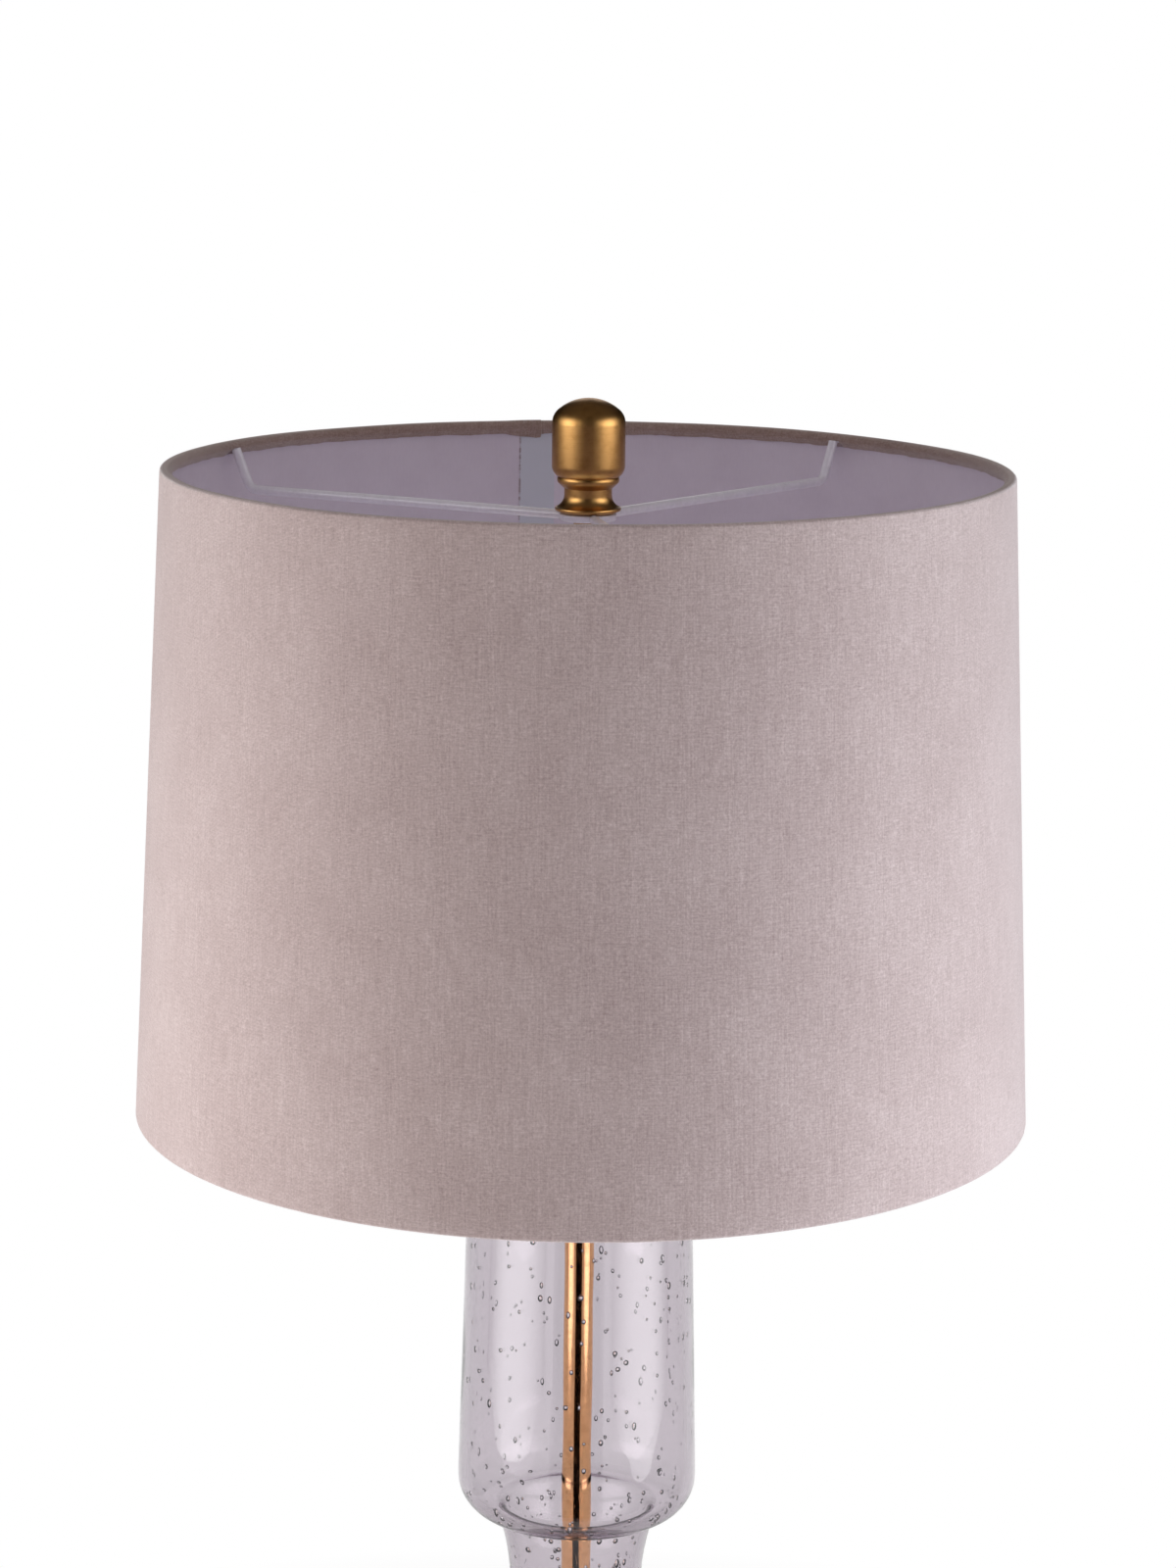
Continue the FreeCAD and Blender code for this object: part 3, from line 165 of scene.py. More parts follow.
class Recipe(Wiring):
    """A material being mixed: its node tree, its shader and the nodes that the finishes share."""

    def __init__(self, name: str) -> None:
        """Starts a material with one Principled shader.

        Args:
            name: the material's name.
        """
        self.material = bpy.data.materials.new(name)
        self.material.use_nodes = True
        super().__init__(self.material.node_tree)
        self.output = self.add("OutputMaterial")
        self.shader = self.add("BsdfPrincipled")
        self.body = self.shader.outputs[0]
        self.show(self.body)
        self.places = self.add("TexCoord").outputs["Object"]

    def fix(self, **values: float | Colour) -> None:
        """Sets plain values on the shader's own sockets, such as metallic=1.0.

        Args:
            values: a value for each socket, its name in small letters with underscores.
        """
        sockets = {socket.name.lower().replace(" ", "_"): socket for socket in self.shader.inputs}
        for name, value in values.items():
            sockets[name].default_value = value

    def feed(self, name: str, source: Socket) -> None:
        """Links a socket of the shader to what drives it."""
        self.links.new(source, self.shader.inputs[name])

    def show(self, surface: Socket) -> None:
        """Makes a shader the one that the surface shows."""
        self.links.new(surface, self.output.inputs["Surface"])

    def clear(self, tint: Colour = WHITE) -> Socket:
        """A shader that lets every ray straight through, tinted or not."""
        return self.add("BsdfTransparent", {"Color": tint}).outputs[0]

    def either(self, share: Socket, first: Socket, second: Socket) -> Socket:
        """The first shader where share is 0, and the second where it is 1."""
        return self.add("MixShader", {0: share, 1: first, 2: second}).outputs[0]

    def show_in_gloss(self, surface: Socket) -> None:
        """Makes a shader the surface's, but only for rays that a glossy surface has thrown."""
        thrown = self.reckon("GREATER_THAN", self.ray("Glossy Depth"), 0.5)
        self.show(self.either(thrown, self.clear(), surface))

    def split(self, places: Socket) -> Sequence[Socket]:
        """The three numbers that a place is made of."""
        return self.add("SeparateXYZ", {0: places}).outputs

    def stretched(self, stretch: Sequence[float], places: Socket | None = None) -> Socket:
        """Places, the piece's own if none are given, multiplied along each axis."""
        factors = {0: places or self.places, 1: stretch}
        return self.add("VectorMath", factors, operation="MULTIPLY").outputs[0]

    def unrolled(self, radius: float) -> Socket:
        """Places on a round piece rolled out flat: way round it, distance from its axis, and height.

        Args:
            radius: the radius at which the way round is a real length.

        Returns:
            The rolled out places. The way round is 0 at the front, and it breaks at the back.
        """
        across, depth, height = self.split(self.places)
        angle = self.reckon("ARCTAN2", across, self.reckon("MULTIPLY", depth, -1.0))
        squares = self.total(self.reckon("POWER", across, 2.0), self.reckon("POWER", depth, 2.0))
        return self.add("CombineXYZ", {0: self.reckon("MULTIPLY", angle, radius),
                                       1: self.reckon("SQRT", squares), 2: height}).outputs[0]

    def speckle(self, size: float, detail: float = 2.0, places: Socket | None = None,
                stretch: Sequence[float] = (1, 1, 1), rough: float = 0.5) -> Socket:
        """Soft noise between 0 and 1.

        Args:
            size: the usual size of a spot.
            detail: how many finer layers it has.
            places: where it is read, or the piece's own places if left out.
            stretch: one factor for each axis, below 1 to draw the spots out.
            rough: how strong the finer layers are.

        Returns:
            The noise.
        """
        where = self.stretched(stretch, places)
        return self.add("TexNoise", {"Vector": where, "Scale": 1 / size, "Detail": detail,
                                     "Roughness": rough}).outputs["Fac"]

    def threads(self, pitch: float, axis: int, places: Socket) -> Socket:
        """Fine ribs between 0 and 1 that follow each other along one axis, a pitch apart."""
        wave = self.reckon("SINE", self.reckon("MULTIPLY", self.split(places)[axis], FULL_TURN / pitch))
        return self.total(self.reckon("MULTIPLY", wave, 0.5), 0.5)

    def bump(self, height: Socket, depth: float) -> None:
        """Raises the surface by a height from 0 to 1, where 1 is this depth in metres."""
        self.feed("Normal", self.add("Bump", {"Distance": depth, "Height": height}).outputs[0])


# ---------------------------------------------------------------- finishes


class Lay(Enum):
    """Which way the fine lines of a metal run."""

    ROUND = "round the lamp's own axis, as a lathe leaves them"
    CLOUDY = "no direction"


@dataclass(frozen=True)
class Metal:
    """Bare or lacquered metal with fine lines, clouded shine and a little tarnish."""

    name: str
    colour: Colour
    tarnish: Colour
    roughness: float
    lay: Lay = Lay.CLOUDY
    line_depth: float = 0.004 * MM
    line_pitch: float = 0.25 * MM
    lathe_radius: float = 12 * MM
    lathe_stretch: float = 0.02
    cloud_size: float = 9 * MM
    spot_size: float = 4 * MM
    shine_swing: float = 0.05
    line_tarnish: float = 0.12
    spot_tarnish: float = 0.6

    def mix(self) -> Material:
        """Mixes the material.

        Returns:
            The material.
        """
        recipe = Recipe(self.name)
        recipe.fix(metallic=1.0)
        if self.lay is Lay.ROUND:
            rolled = recipe.unrolled(self.lathe_radius)
            lines = recipe.speckle(self.line_pitch, 3, rolled, (self.lathe_stretch, 1, 1))
        else:
            lines = recipe.speckle(self.line_pitch, 3)
        layers = (recipe.speckle(self.cloud_size, 4), lines)
        swings = [recipe.spread(layer, -self.shine_swing, self.shine_swing) for layer in layers]
        recipe.feed("Roughness", recipe.total(*swings, self.roughness))
        spots = recipe.speckle(self.spot_size, 5, rough=0.6)
        worn = recipe.total(recipe.spread(spots, 0.0, self.spot_tarnish, 0.45, 0.75),
                            recipe.spread(lines, -self.line_tarnish, self.line_tarnish, 0.3, 0.7))
        recipe.feed("Base Color", recipe.blended(worn, self.colour, self.tarnish))
        recipe.bump(lines, self.line_depth)
        return recipe.material


@dataclass(frozen=True)
class Fleck:
    """One layer of darker and paler spots in a cloth."""

    size: float
    swing: float
    stretch: tuple[float, float, float] = (1, 1, 1)
    detail: float = 3
    rough: float = 0.5
    reach: float = 0.2

    def lean(self, recipe: Recipe, places: Socket | None = None) -> Socket:
        """How far the layer leans at these places, below 0 to the dark and above it to the pale."""
        spots = recipe.speckle(self.size, self.detail, places, self.stretch, self.rough)
        return recipe.spread(spots, -self.swing, self.swing, 0.5 - self.reach, 0.5 + self.reach)


@dataclass(frozen=True)
class Weave:
    """Plain woven linen with thick and thin threads both ways."""

    name: str
    colour: Colour
    dark: Colour
    pale: Colour
    radius: float
    pitch: float = 0.52 * MM
    thread_depth: float = 0.10 * MM
    upright: Fleck = Fleck(0.7 * MM, 0.27, (1, 0, 0.05), rough=0.7)
    level: Fleck = Fleck(0.6 * MM, 0.24, (0.09, 0, 1), detail=2, rough=0.6)
    wisps: Fleck = Fleck(2.4 * MM, 0.09, (1, 0, 0.05))
    fuzz: Fleck = Fleck(1.05 * MM, 0.58, rough=0.75, reach=0.25)
    clouds: Fleck = Fleck(45 * MM, 0.14)

    def mix(self) -> Material:
        """Mixes the material.

        Returns:
            The material.
        """
        recipe = Recipe(self.name)
        recipe.fix(roughness=0.9, sheen_weight=0.7, sheen_roughness=0.4, specular_ior_level=0.25)
        flat = recipe.unrolled(self.radius)
        leans = [layer.lean(recipe, flat) for layer in (self.upright, self.level, self.wisps, self.fuzz)]
        lean = recipe.total(*leans, self.clouds.lean(recipe))
        darker = recipe.blended(recipe.spread(lean, 0.0, 1.0, 0.0, -1.0), self.colour, self.dark)
        recipe.feed("Base Color", recipe.blended(recipe.spread(lean, 0.0, 1.0), darker, self.pale))
        warp, weft = (recipe.threads(self.pitch, axis, flat) for axis in (0, 2))
        ribs = recipe.reckon("MULTIPLY", warp, weft)
        recipe.bump(recipe.total(ribs, recipe.spread(lean, -0.4, 0.6)), self.thread_depth)
        return recipe.material


@dataclass(frozen=True)
class Coating:
    """A plain solid finish, such as enamel, moulded plastic, card, felt or frosted glass."""

    name: str
    colour: Colour
    mottle: Colour
    roughness: float
    spot: float = 6 * MM
    grain: float = 0.6 * MM
    grain_depth: float = 0.02 * MM
    coat: float = 0.0
    sheen: float = 0.0
    stretch: tuple[float, float, float] = (1, 1, 1)
    shine_swing: float = 0.06

    def mix(self) -> Material:
        """Mixes the material.

        Returns:
            The material.
        """
        recipe = Recipe(self.name)
        recipe.fix(coat_weight=self.coat, coat_roughness=0.15, sheen_weight=self.sheen)
        spots = recipe.speckle(self.spot, 4, rough=0.6)
        grain = recipe.speckle(self.grain, 3, stretch=self.stretch)
        mottled = recipe.total(recipe.spread(spots, 0.0, 0.7, 0.4, 0.8),
                               recipe.spread(grain, -0.2, 0.3, 0.3, 0.7))
        recipe.feed("Base Color", recipe.blended(mottled, self.colour, self.mottle))
        dull, keen = self.roughness + self.shine_swing, self.roughness - self.shine_swing
        recipe.feed("Roughness", recipe.spread(spots, keen, dull))
        recipe.bump(grain, self.grain_depth)
        return recipe.material


@dataclass(frozen=True)
class Glass:
    """Clear blown glass or soft clear plastic, with a faint tint and a soft ripple."""

    name: str
    tint: Colour
    depth_colour: Colour = (0.5, 0.42, 0.49, 1.0)
    depth_density: float = 122.0
    roughness: float = 0.0
    bend: float = 1.47
    streak_share: float = 0.97
    ripple: float = 14 * MM
    ripple_depth: float = 0.02 * MM

    def mix(self) -> Material:
        """Mixes the material. Rays from the lamps pass straight through it, tinted.

        Returns:
            The material.
        """
        recipe = Recipe(self.name)
        recipe.fix(transmission_weight=1.0, ior=self.bend, roughness=self.roughness)
        streak = recipe.speckle(self.ripple, stretch=(1, 1, 0.3))
        deeper = tuple(share * self.streak_share for share in self.tint[:3]) + (1.0,)
        recipe.feed("Base Color", recipe.blended(streak, self.tint, deeper))
        recipe.bump(streak, self.ripple_depth)
        recipe.show(recipe.either(recipe.ray("Is Shadow Ray"), recipe.body, recipe.clear(self.tint)))
        depth = recipe.add("VolumeAbsorption", {"Color": self.depth_colour, "Density": self.depth_density})
        recipe.links.new(depth.outputs[0], recipe.output.inputs["Volume"])
        return recipe.material


@dataclass(frozen=True)
class Liner:
    """White plastic sheet of the shade's lining, with a painted shadow in broken dashes along the edge
    where its two ends lap.
    """

    name: str
    colour: Colour
    mottle: Colour
    lap_colour: Colour
    # The gap colour and its widths paint the shadow along the lap's edge.
    painted_gap_shadow: Colour
    radius: float
    lap_edge: float
    lap_far: float
    gap_shadow_widths: tuple[float, float] = (0.25 * MM, 0.6 * MM)
    dash: float = 2.6 * MM
    spot: float = 22 * MM
    grain: float = 1.1 * MM
    grain_depth: float = 0.03 * MM

    def mix(self) -> Material:
        """Mixes the material.

        Returns:
            The material.
        """
        recipe = Recipe(self.name)
        recipe.fix(roughness=0.55, specular_ior_level=0.3)
        flat = recipe.unrolled(self.radius)
        way_round = recipe.split(flat)[0]
        spots = recipe.speckle(self.spot, 4, rough=0.6)
        grain = recipe.speckle(self.grain, 2, flat, (1, 0, 0.3))
        mottled = recipe.total(recipe.spread(spots, 0.0, 0.7, 0.35, 0.75),
                               recipe.spread(grain, -0.12, 0.12, 0.3, 0.7))
        sheet = recipe.blended(mottled, self.colour, self.mottle)
        inside = recipe.reckon("MULTIPLY", recipe.reckon("LESS_THAN", way_round, self.lap_edge),
                               recipe.reckon("GREATER_THAN", way_round, self.lap_far))
        lapped = recipe.blended(inside, sheet, self.lap_colour)
        # Painted shadow: a dark broken line beside the lap's edge, where the upper end would shade the
        # sheet below it.
        off = recipe.reckon("ABSOLUTE", recipe.reckon("SUBTRACT", way_round, self.lap_edge))
        shadow_near_edge = recipe.spread(off, 1.0, 0.0, *self.gap_shadow_widths)
        dashes = recipe.speckle(self.dash, places=flat, stretch=(0.2, 0, 1))
        shadow_dashes = recipe.reckon("MULTIPLY", shadow_near_edge, recipe.spread(dashes, 0.1, 1.0, 0.4, 0.55))
        recipe.feed("Base Color", recipe.blended(shadow_dashes, lapped, self.painted_gap_shadow))
        recipe.bump(grain, self.grain_depth)
        return recipe.material


Finish = Metal | Weave | Coating | Glass | Liner
Dressing = dict[Finish, tuple[str, ...]]


def satin_brass(name: str) -> Metal:
    """Brown satin brass with fine turning lines."""
    return Metal(name, paint(184, 140, 84), paint(150, 106, 56), roughness=0.33, lay=Lay.ROUND)


PLATED_STEEL = Metal("zinc plated steel", paint(196, 198, 196), paint(150, 148, 140), roughness=0.34)


# ---------------------------------------------------------------- what a sub-assembly has


class Dressed:
    """A sub-assembly with CAD nodes that keep their shape and get a finish."""

    finishes: ClassVar[Dressing] = {}

    def build(self) -> list[Piece]:
        """Gives each finish to the CAD nodes that are named beside it.

        Returns:
            The pieces made, of which there are none here.
        """
        for finish, nodes in self.finishes.items():
            material = finish.mix()
            for name in nodes:
                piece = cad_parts[name]
                if not piece.material_slots:
                    piece.data.materials.append(material)
                for place in piece.material_slots:
                    place.material = material
        return []


# ---------------------------------------------------------------- making a mesh


def put(name: str, data: bpy.types.ID) -> Piece:
    """A new object of some data, put into the scene.

    Args:
        name: the object's name.
        data: its mesh, light or camera.

    Returns:
        The object.
    """
    thing = bpy.data.objects.new(name, data)
    bpy.context.scene.collection.objects.link(thing)
    return thing


def skin(name: str, sections: Sequence[Sequence[Vector]], body: str) -> Piece:
    """A closed skin over a row of closed outlines, the last joined to the first.

    Args:
        name: the piece's name.
        sections: outlines with the same number of points.
        body: the CAD body that it rides on.

    Returns:
        The piece.
    """
    rounds, points = len(sections), len(sections[0])
    vertices = [place for section in sections for place in section]
    faces = []
    for turn in range(rounds):
        after = (turn + 1) % rounds
        for point in range(points):
            beside = (point + 1) % points
            faces.append((turn * points + point, turn * points + beside,
                          after * points + beside, after * points + point))
    mesh = bpy.data.meshes.new(name)
    mesh.from_pydata(vertices, [], faces)
    work = bmesh.new()
    work.from_mesh(mesh)
    bmesh.ops.recalc_face_normals(work, faces=work.faces)
    work.to_mesh(mesh)
    work.free()
    mesh.shade_smooth()
    mesh.set_sharp_from_angle(angle=CREASE)
    piece = put(name, mesh)
    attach(piece, body)
    return piece


def around(turn: float, radius: float, height: float) -> Vector:
    """The place at an angle from +X, a distance from the axis and a height."""
    return Vector((radius * math.cos(turn), radius * math.sin(turn), height))


def flare(start: Point, end: Point) -> list[Point]:
    """An arc that leaves start upright and bends to end.

    Args:
        start: radius and height of its first point.
        end: radius and height of its last point.

    Returns:
        Its points after start.
    """
    across, up = end[0] - start[0], end[1] - start[1]
    sweep = 2 * math.atan2(abs(across), abs(up))
    radius = math.hypot(across, up) / 2 / math.sin(sweep / 2)
    side, way = math.copysign(1, across), math.copysign(1, up)
    drawn = []
    for step in range(1, ARC_STEPS + 1):
        turn = sweep * step / ARC_STEPS
        out, along = side * radius * (1 - math.cos(turn)), way * radius * math.sin(turn)
        drawn.append((start[0] + out, start[1] + along))
    return drawn


def reverse_curve(start: Point, end: Point) -> list[Point]:
    """Two arcs that leave start upright, cross over half way and reach end upright."""
    middle = ((start[0] + end[0]) / 2, (start[1] + end[1]) / 2)
    return flare(start, middle) + flare(end, middle)[-2::-1] + [end]


def corner(centre: Point, radius: float, start: float, end: float, steps: int = 10) -> list[Point]:
    """A round corner.

    Args:
        centre: radius and height of the arc's centre.
        radius: the arc's radius.
        start: angle of its first point, in degrees from outward.
        end: angle of its last point.
        steps: how many pieces it is drawn in.

    Returns:
        Its points, first and last included.
    """
    drawn = []
    for step in range(steps + 1):
        turn = math.radians(start + (end - start) * step / steps)
        drawn.append((centre[0] + radius * math.cos(turn), centre[1] + radius * math.sin(turn)))
    return drawn


def filled(outline: Sequence[Point], longest: float) -> list[Point]:
    """An outline with points added where two are further apart than longest.

    Args:
        outline: its points.
        longest: the longest step allowed.

    Returns:
        The outline with its new points.
    """
    drawn = [outline[0]]
    for (r0, z0), (r1, z1) in zip(outline, outline[1:]):
        parts = max(1, math.ceil(math.hypot(r1 - r0, z1 - z0) / longest))
        for part in range(1, parts + 1):
            share = part / parts
            drawn.append((r0 + (r1 - r0) * share, z0 + (z1 - z0) * share))
    return drawn


def softened(line: Sequence[Point], passes: int) -> list[Point]:
    """A line whose corners are eased by moving each point towards its neighbours, again and again.

    Args:
        line: its points, evenly apart.
        passes: how many times.

    Returns:
        The eased line, with the same first and last point.
    """
    eased = list(line)
    for turn in range(passes):
        middles = [((before[0] + 2 * place[0] + after[0]) / 4, (before[1] + 2 * place[1] + after[1]) / 4)
                   for before, place, after in zip(eased, eased[1:], eased[2:])]
        eased = [eased[0], *middles, eased[-1]]
    return eased


def shifted(line: Sequence[Point], outward: float) -> list[Point]:
    """A line's twin that runs beside it at the same distance all along.

    Args:
        line: points of the line, as radius and height, from below upwards.
        outward: the distance, below 0 for the side of the axis.

    Returns:
        The twin's points.
    """
    twin = []
    for place, (radius, height) in enumerate(line):
        before, after = line[max(place - 1, 0)], line[min(place + 1, len(line) - 1)]
        run, rise = after[0] - before[0], after[1] - before[1]
        length = math.hypot(run, rise) or 1.0
        twin.append((radius + rise / length * outward, height - run / length * outward))
    return twin


def thickened(line: Sequence[Point], thickness: float) -> list[Point]:
    """A sheet's closed outline: its middle line moved half its thickness out, then in and backwards."""
    return shifted(line, thickness / 2) + shifted(line, -thickness / 2)[::-1]


def soft_step(value: float, start: float, end: float) -> float:
    """0 before start, 1 after end, and a smooth rise between them."""
    share = min(1.0, max(0.0, (value - start) / (end - start)))
    return share * share * (3 - 2 * share)


# ---------------------------------------------------------------- the shade


class Edge(IntEnum):
    """The shade's two wired edges."""

    UPPER = 1
    LOWER = -1


@dataclass(frozen=True)
class Walk:
    """A smooth number that wanders on the way round the shade and meets itself."""

    seed: float
    size: float
    reach: float

    def at(self, turn: float, side: int = 0) -> float:
        """The number at an angle, from minus reach to reach. Each side has a walk of its own."""
        place = Vector((math.cos(turn) / self.size, math.sin(turn) / self.size, self.seed + side))
        return self.reach * noise.noise(place)


@dataclass
class Shade(Dressed):
    """Linen laid on a white plastic liner, turned over two wire rings and hung on a spider."""

    level: float = 455 * MM
    height: float = 276 * MM
    top_radius: float = 177.8 * MM
    bottom_radius: float = 190.5 * MM
    linen_thickness: float = 0.8 * MM
    liner_thickness: float = 0.5 * MM
    liner_margin: float = 2.2
    roll_radius: float = 2.7 * MM
    edge_radius: float = 1.3 * MM
    row_height: float = 6 * MM
    swell_fade: float = 6 * MM
    flap_height: float = 5.9 * MM
    flap_thickness: float = 0.5 * MM
    flap_gap: float = 0.35 * MM
    clearance: float = 0.05 * MM
    knee_out: float = 0.9 * MM
    knee_share: float = 0.35
    belly: float = 0.2 * MM
    tip_lean: float = 0.3 * MM
    pucker_rows: tuple[int, int] = (3, 8)
    lap_turn: float = math.radians(100.3)
    lap_width: float = 16 * MM
    lap_fade: float = 3 * MM
    lap_rise: float = 0.6 * MM
    lap_drop: float = 1.6 * MM
    hem_end_turn: float = math.radians(97.2)
    hem_lap_width: float = 19 * MM
    seam: float = 12 * MM
    segments: int = 540
    arm_degrees: tuple[float, ...] = (50.5, 153.0, 282.0)
    notch_width: float = 5.6 * MM
    notch_flap: float = 0.4 * MM
    swell: Walk = Walk(seed=3.1, size=0.5, reach=0.25 * MM)
    ripple: Walk = Walk(seed=7.7, size=0.03, reach=0.05 * MM)
    rim_lift: Walk = Walk(seed=11.3, size=0.35, reach=0.22 * MM)
    pucker: Walk = Walk(seed=5.2, size=0.02, reach=0.16 * MM)
    slow_pucker: Walk = Walk(seed=9.4, size=0.06, reach=0.1 * MM)
    ragged: Walk = Walk(seed=21.0, size=0.04, reach=0.45 * MM)
    fray: Walk = Walk(seed=31.0, size=0.012, reach=0.25 * MM)
    liner_swell: Walk = Walk(seed=14.0, size=0.4, reach=0.1 * MM)
    finishes: ClassVar[Dressing] = {
        Coating("white enamel", paint(240, 237, 246), paint(226, 223, 232), roughness=0.3, spot=5 * MM,
                grain=1.6 * MM, grain_depth=0.006 * MM, coat=0.4): (
            "top_ring", "bottom_ring", "spider_hub", "spider_arm_one", "spider_arm_two",
            "spider_arm_three"),
    }

    @property
    def rim(self) -> float:
        """Height of the upper rim."""
        return self.level + self.height

    def outside(self, height: float) -> float:
        """Radius of the shade's outside at a height."""
        share = (height - self.level) / self.height
        return self.bottom_radius + (self.top_radius - self.bottom_radius) * share

    def turns(self) -> list[float]:
        """Angles of the sections round the shade, closer together where the cloth laps.

        Returns:
            The angles, rising.
        """
        even = [FULL_TURN * part / self.segments for part in range(self.segments)]
        fine = [turn + math.radians(0.05 * part) for turn in (self.lap_turn, self.hem_end_turn)
                for part in range(-6, 7)]
        return sorted(even + fine)

    def wrapped(self, name: str, slot: str, outline: Callable[[float], list[Point]]) -> Piece:
        """A sheet that goes once round the shade.

        Args:
            name: the piece's name.
            slot: the record's material slot, not used.
            outline: gives the sheet's closed outline at an angle.

        Returns:
            The piece.
        """
        sections = []
        for turn in self.turns():
            sections.append([around(turn, radius, height) for radius, height in outline(turn)])
        return skin(name, sections, "shade")

    def lapped(self, turn: float) -> float:
        """How far the hem's lap has risen at an angle: a crisp edge one way and a long fall the other.

        Args:
            turn: angle of the section.

        Returns:
            0 beside the lap, up to 1 on it.
        """
        past = (turn - self.hem_end_turn) * self.top_radius
        fallen = soft_step(past, 0.3 * self.hem_lap_width, self.hem_lap_width)
        return soft_step(past, -0.2 * MM, 0.4 * MM) * (1 - fallen)

    def cover_outline(self, turn: float) -> list[Point]:
        """The linen's outline: round the lower edge, up the outside and round the upper edge.

        Args:
            turn: angle of the section.

        Returns:
            Its points as radius and height.
        """
        roll = self.edge_radius - self.linen_thickness / 2
        low, high = self.level + self.edge_radius, self.rim - self.edge_radius + self.rim_lift.at(turn)
        low_centre = self.outside(low) - self.edge_radius
        high_centre = self.outside(high) - self.edge_radius
        under = corner((low_centre, low), roll, -90, 0, 5)
        over = corner((high_centre, high), roll, 0, 90, 5)
        line = under + filled([under[-1], over[0]], self.row_height)[1:-1] + over
        grown = self.swell.at(turn) + self.ripple.at(turn) + self.lap_rise * self.lapped(turn)
        full = self.outside(self.rim)
        grown_line = [(radius + grown * soft_step(radius, full - self.swell_fade, full), height)
                      for radius, height in line]
        return thickened(grown_line, self.linen_thickness)

    def build_cover(self) -> Piece:
        """The linen outside of the shade, from ring to ring.

        Returns:
            The piece.
        """
        cover = self.wrapped("linen_cover", "linen", self.cover_outline)
        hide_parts("shade_fabric")
        cover.data.materials.append(Weave("natural linen", paint(194, 175, 173), paint(158, 138, 135),
                                          paint(226, 211, 209), self.bottom_radius).mix())
        return cover

    def flap_outline(self, turn: float, edge: Edge) -> list[Point]:
        """The turned-in linen's outline: the inner half of the roll and the flap on the liner.

        Args:
            turn: angle of the section.
            edge: which edge it is turned over.

        Returns:
            Its points as radius and height.
        """
        upper = edge is Edge.UPPER
        lift = self.rim_lift.at(turn) * upper
        centre_height = (self.rim if upper else self.level) - edge * self.roll_radius + lift
        centre = self.outside(centre_height) - self.roll_radius
        pucker = self.pucker.at(turn, edge) + self.slow_pucker.at(turn)
        lap = self.lapped(turn) if upper else 0.0
        roll = self.roll_radius - self.flap_thickness / 2 + 0.4 * self.lap_rise * lap
        start = self.outside(centre_height) - self.edge_radius - self.clearance
        over = [(start, centre_height + roll)] + corner((centre, centre_height), roll, 90, 180, 6)
        ragged = self.ragged.at(turn, edge) + self.fray.at(turn)
        length = self.flap_height - self.roll_radius + ragged + self.lap_drop * lap
        if upper:
            length = min(length, self.notch_room(turn))
        end_height = centre_height - edge * length
        end = self.outside(end_height) - self.linen_thickness - self.liner_thickness - self.flap_gap
        tip = (end - self.tip_lean - 0.5 * lap * self.lap_rise, end_height)
        knee = (over[-1][0] + self.knee_out, centre_height - edge * self.knee_share * length)
        line = [(radius, centre_height + edge * (height - centre_height)) for radius, height in over]
        line += [knee, ((knee[0] + tip[0]) / 2 + self.belly, (knee[1] + tip[1]) / 2), tip]
        puckered = [(radius + pucker * soft_step(place, *self.pucker_rows), height)
                    for place, (radius, height) in enumerate(line)]
        return thickened(puckered, self.flap_thickness)

    def notch_room(self, turn: float) -> float:
        """The flap's greatest length at an angle, short where a spider arm comes through.

        Args:
            turn: angle of the section.

        Returns:
            The length.
        """
        longest = self.flap_height * 2
        room = longest
        for arm in self.arm_degrees:
            away = abs(math.remainder(turn - math.radians(arm), FULL_TURN)) * self.top_radius
            opened = soft_step(away, self.notch_width * 0.4, self.notch_width * 0.9)
            room = min(room, self.notch_flap + longest * opened)
        return room

    def build_flap(self, name: str, node: str, edge: Edge) -> Piece:
        """The linen turned in over one ring.

        Args:
            name: the piece's name.
            node: the CAD node that it stands for.
            edge: which edge it is turned over.

        Returns:
            The piece.
        """
        flap = self.wrapped(name, "hem_linen", lambda turn: self.flap_outline(turn, edge))
        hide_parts(node)
        return flap

    def liner_outline(self, turn: float) -> list[Point]:
        """The liner's outline, twice as thick where its two ends lap.

        Args:
            turn: angle of the section.

        Returns:
            Its points as radius and height.
        """
        margin = self.liner_margin * self.roll_radius
        low, high = self.level + margin, self.rim - margin
        inset = self.linen_thickness + self.clearance + self.liner_thickness / 2
        past = (self.lap_turn - turn) * self.top_radius
        fallen = soft_step(past, self.lap_width, self.lap_width + self.lap_fade)
        lap = soft_step(past, -0.1 * MM, 0.1 * MM) * (1 - fallen)
        ease = self.liner_swell.at(turn)
        line = []
        for radius, height in filled([(0.0, low), (0.0, high)], 2 * self.row_height):
            line.append((self.outside(height) - inset - 0.5 * lap * self.liner_thickness + ease, height))
        return thickened(line, self.liner_thickness * (1 + lap))

    def build_liner(self) -> Piece:
        """The white plastic sheet inside the linen, its two ends lapped at the back.

        Returns:
            The piece.
        """
        liner = self.wrapped("liner_sheet", "styrene", self.liner_outline)
        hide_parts("shade_liner")
        way_round = -(math.radians(270) - self.lap_turn) * self.top_radius
        # The darker gap colour is a painted shadow along the lap's edge.
        liner.data.materials.append(Liner(
            "white liner", colour=paint(217, 208, 221), mottle=paint(207, 197, 211),
            lap_colour=paint(204, 206, 217), painted_gap_shadow=paint(168, 154, 160), radius=self.top_radius,
            lap_edge=way_round, lap_far=way_round - self.lap_width).mix())
        return liner

    def build(self) -> list[Piece]:
        """Builds the cloth and the liner, and dresses the rings and the spider.

        Returns:
            The pieces made.
        """
        cover = self.build_cover()
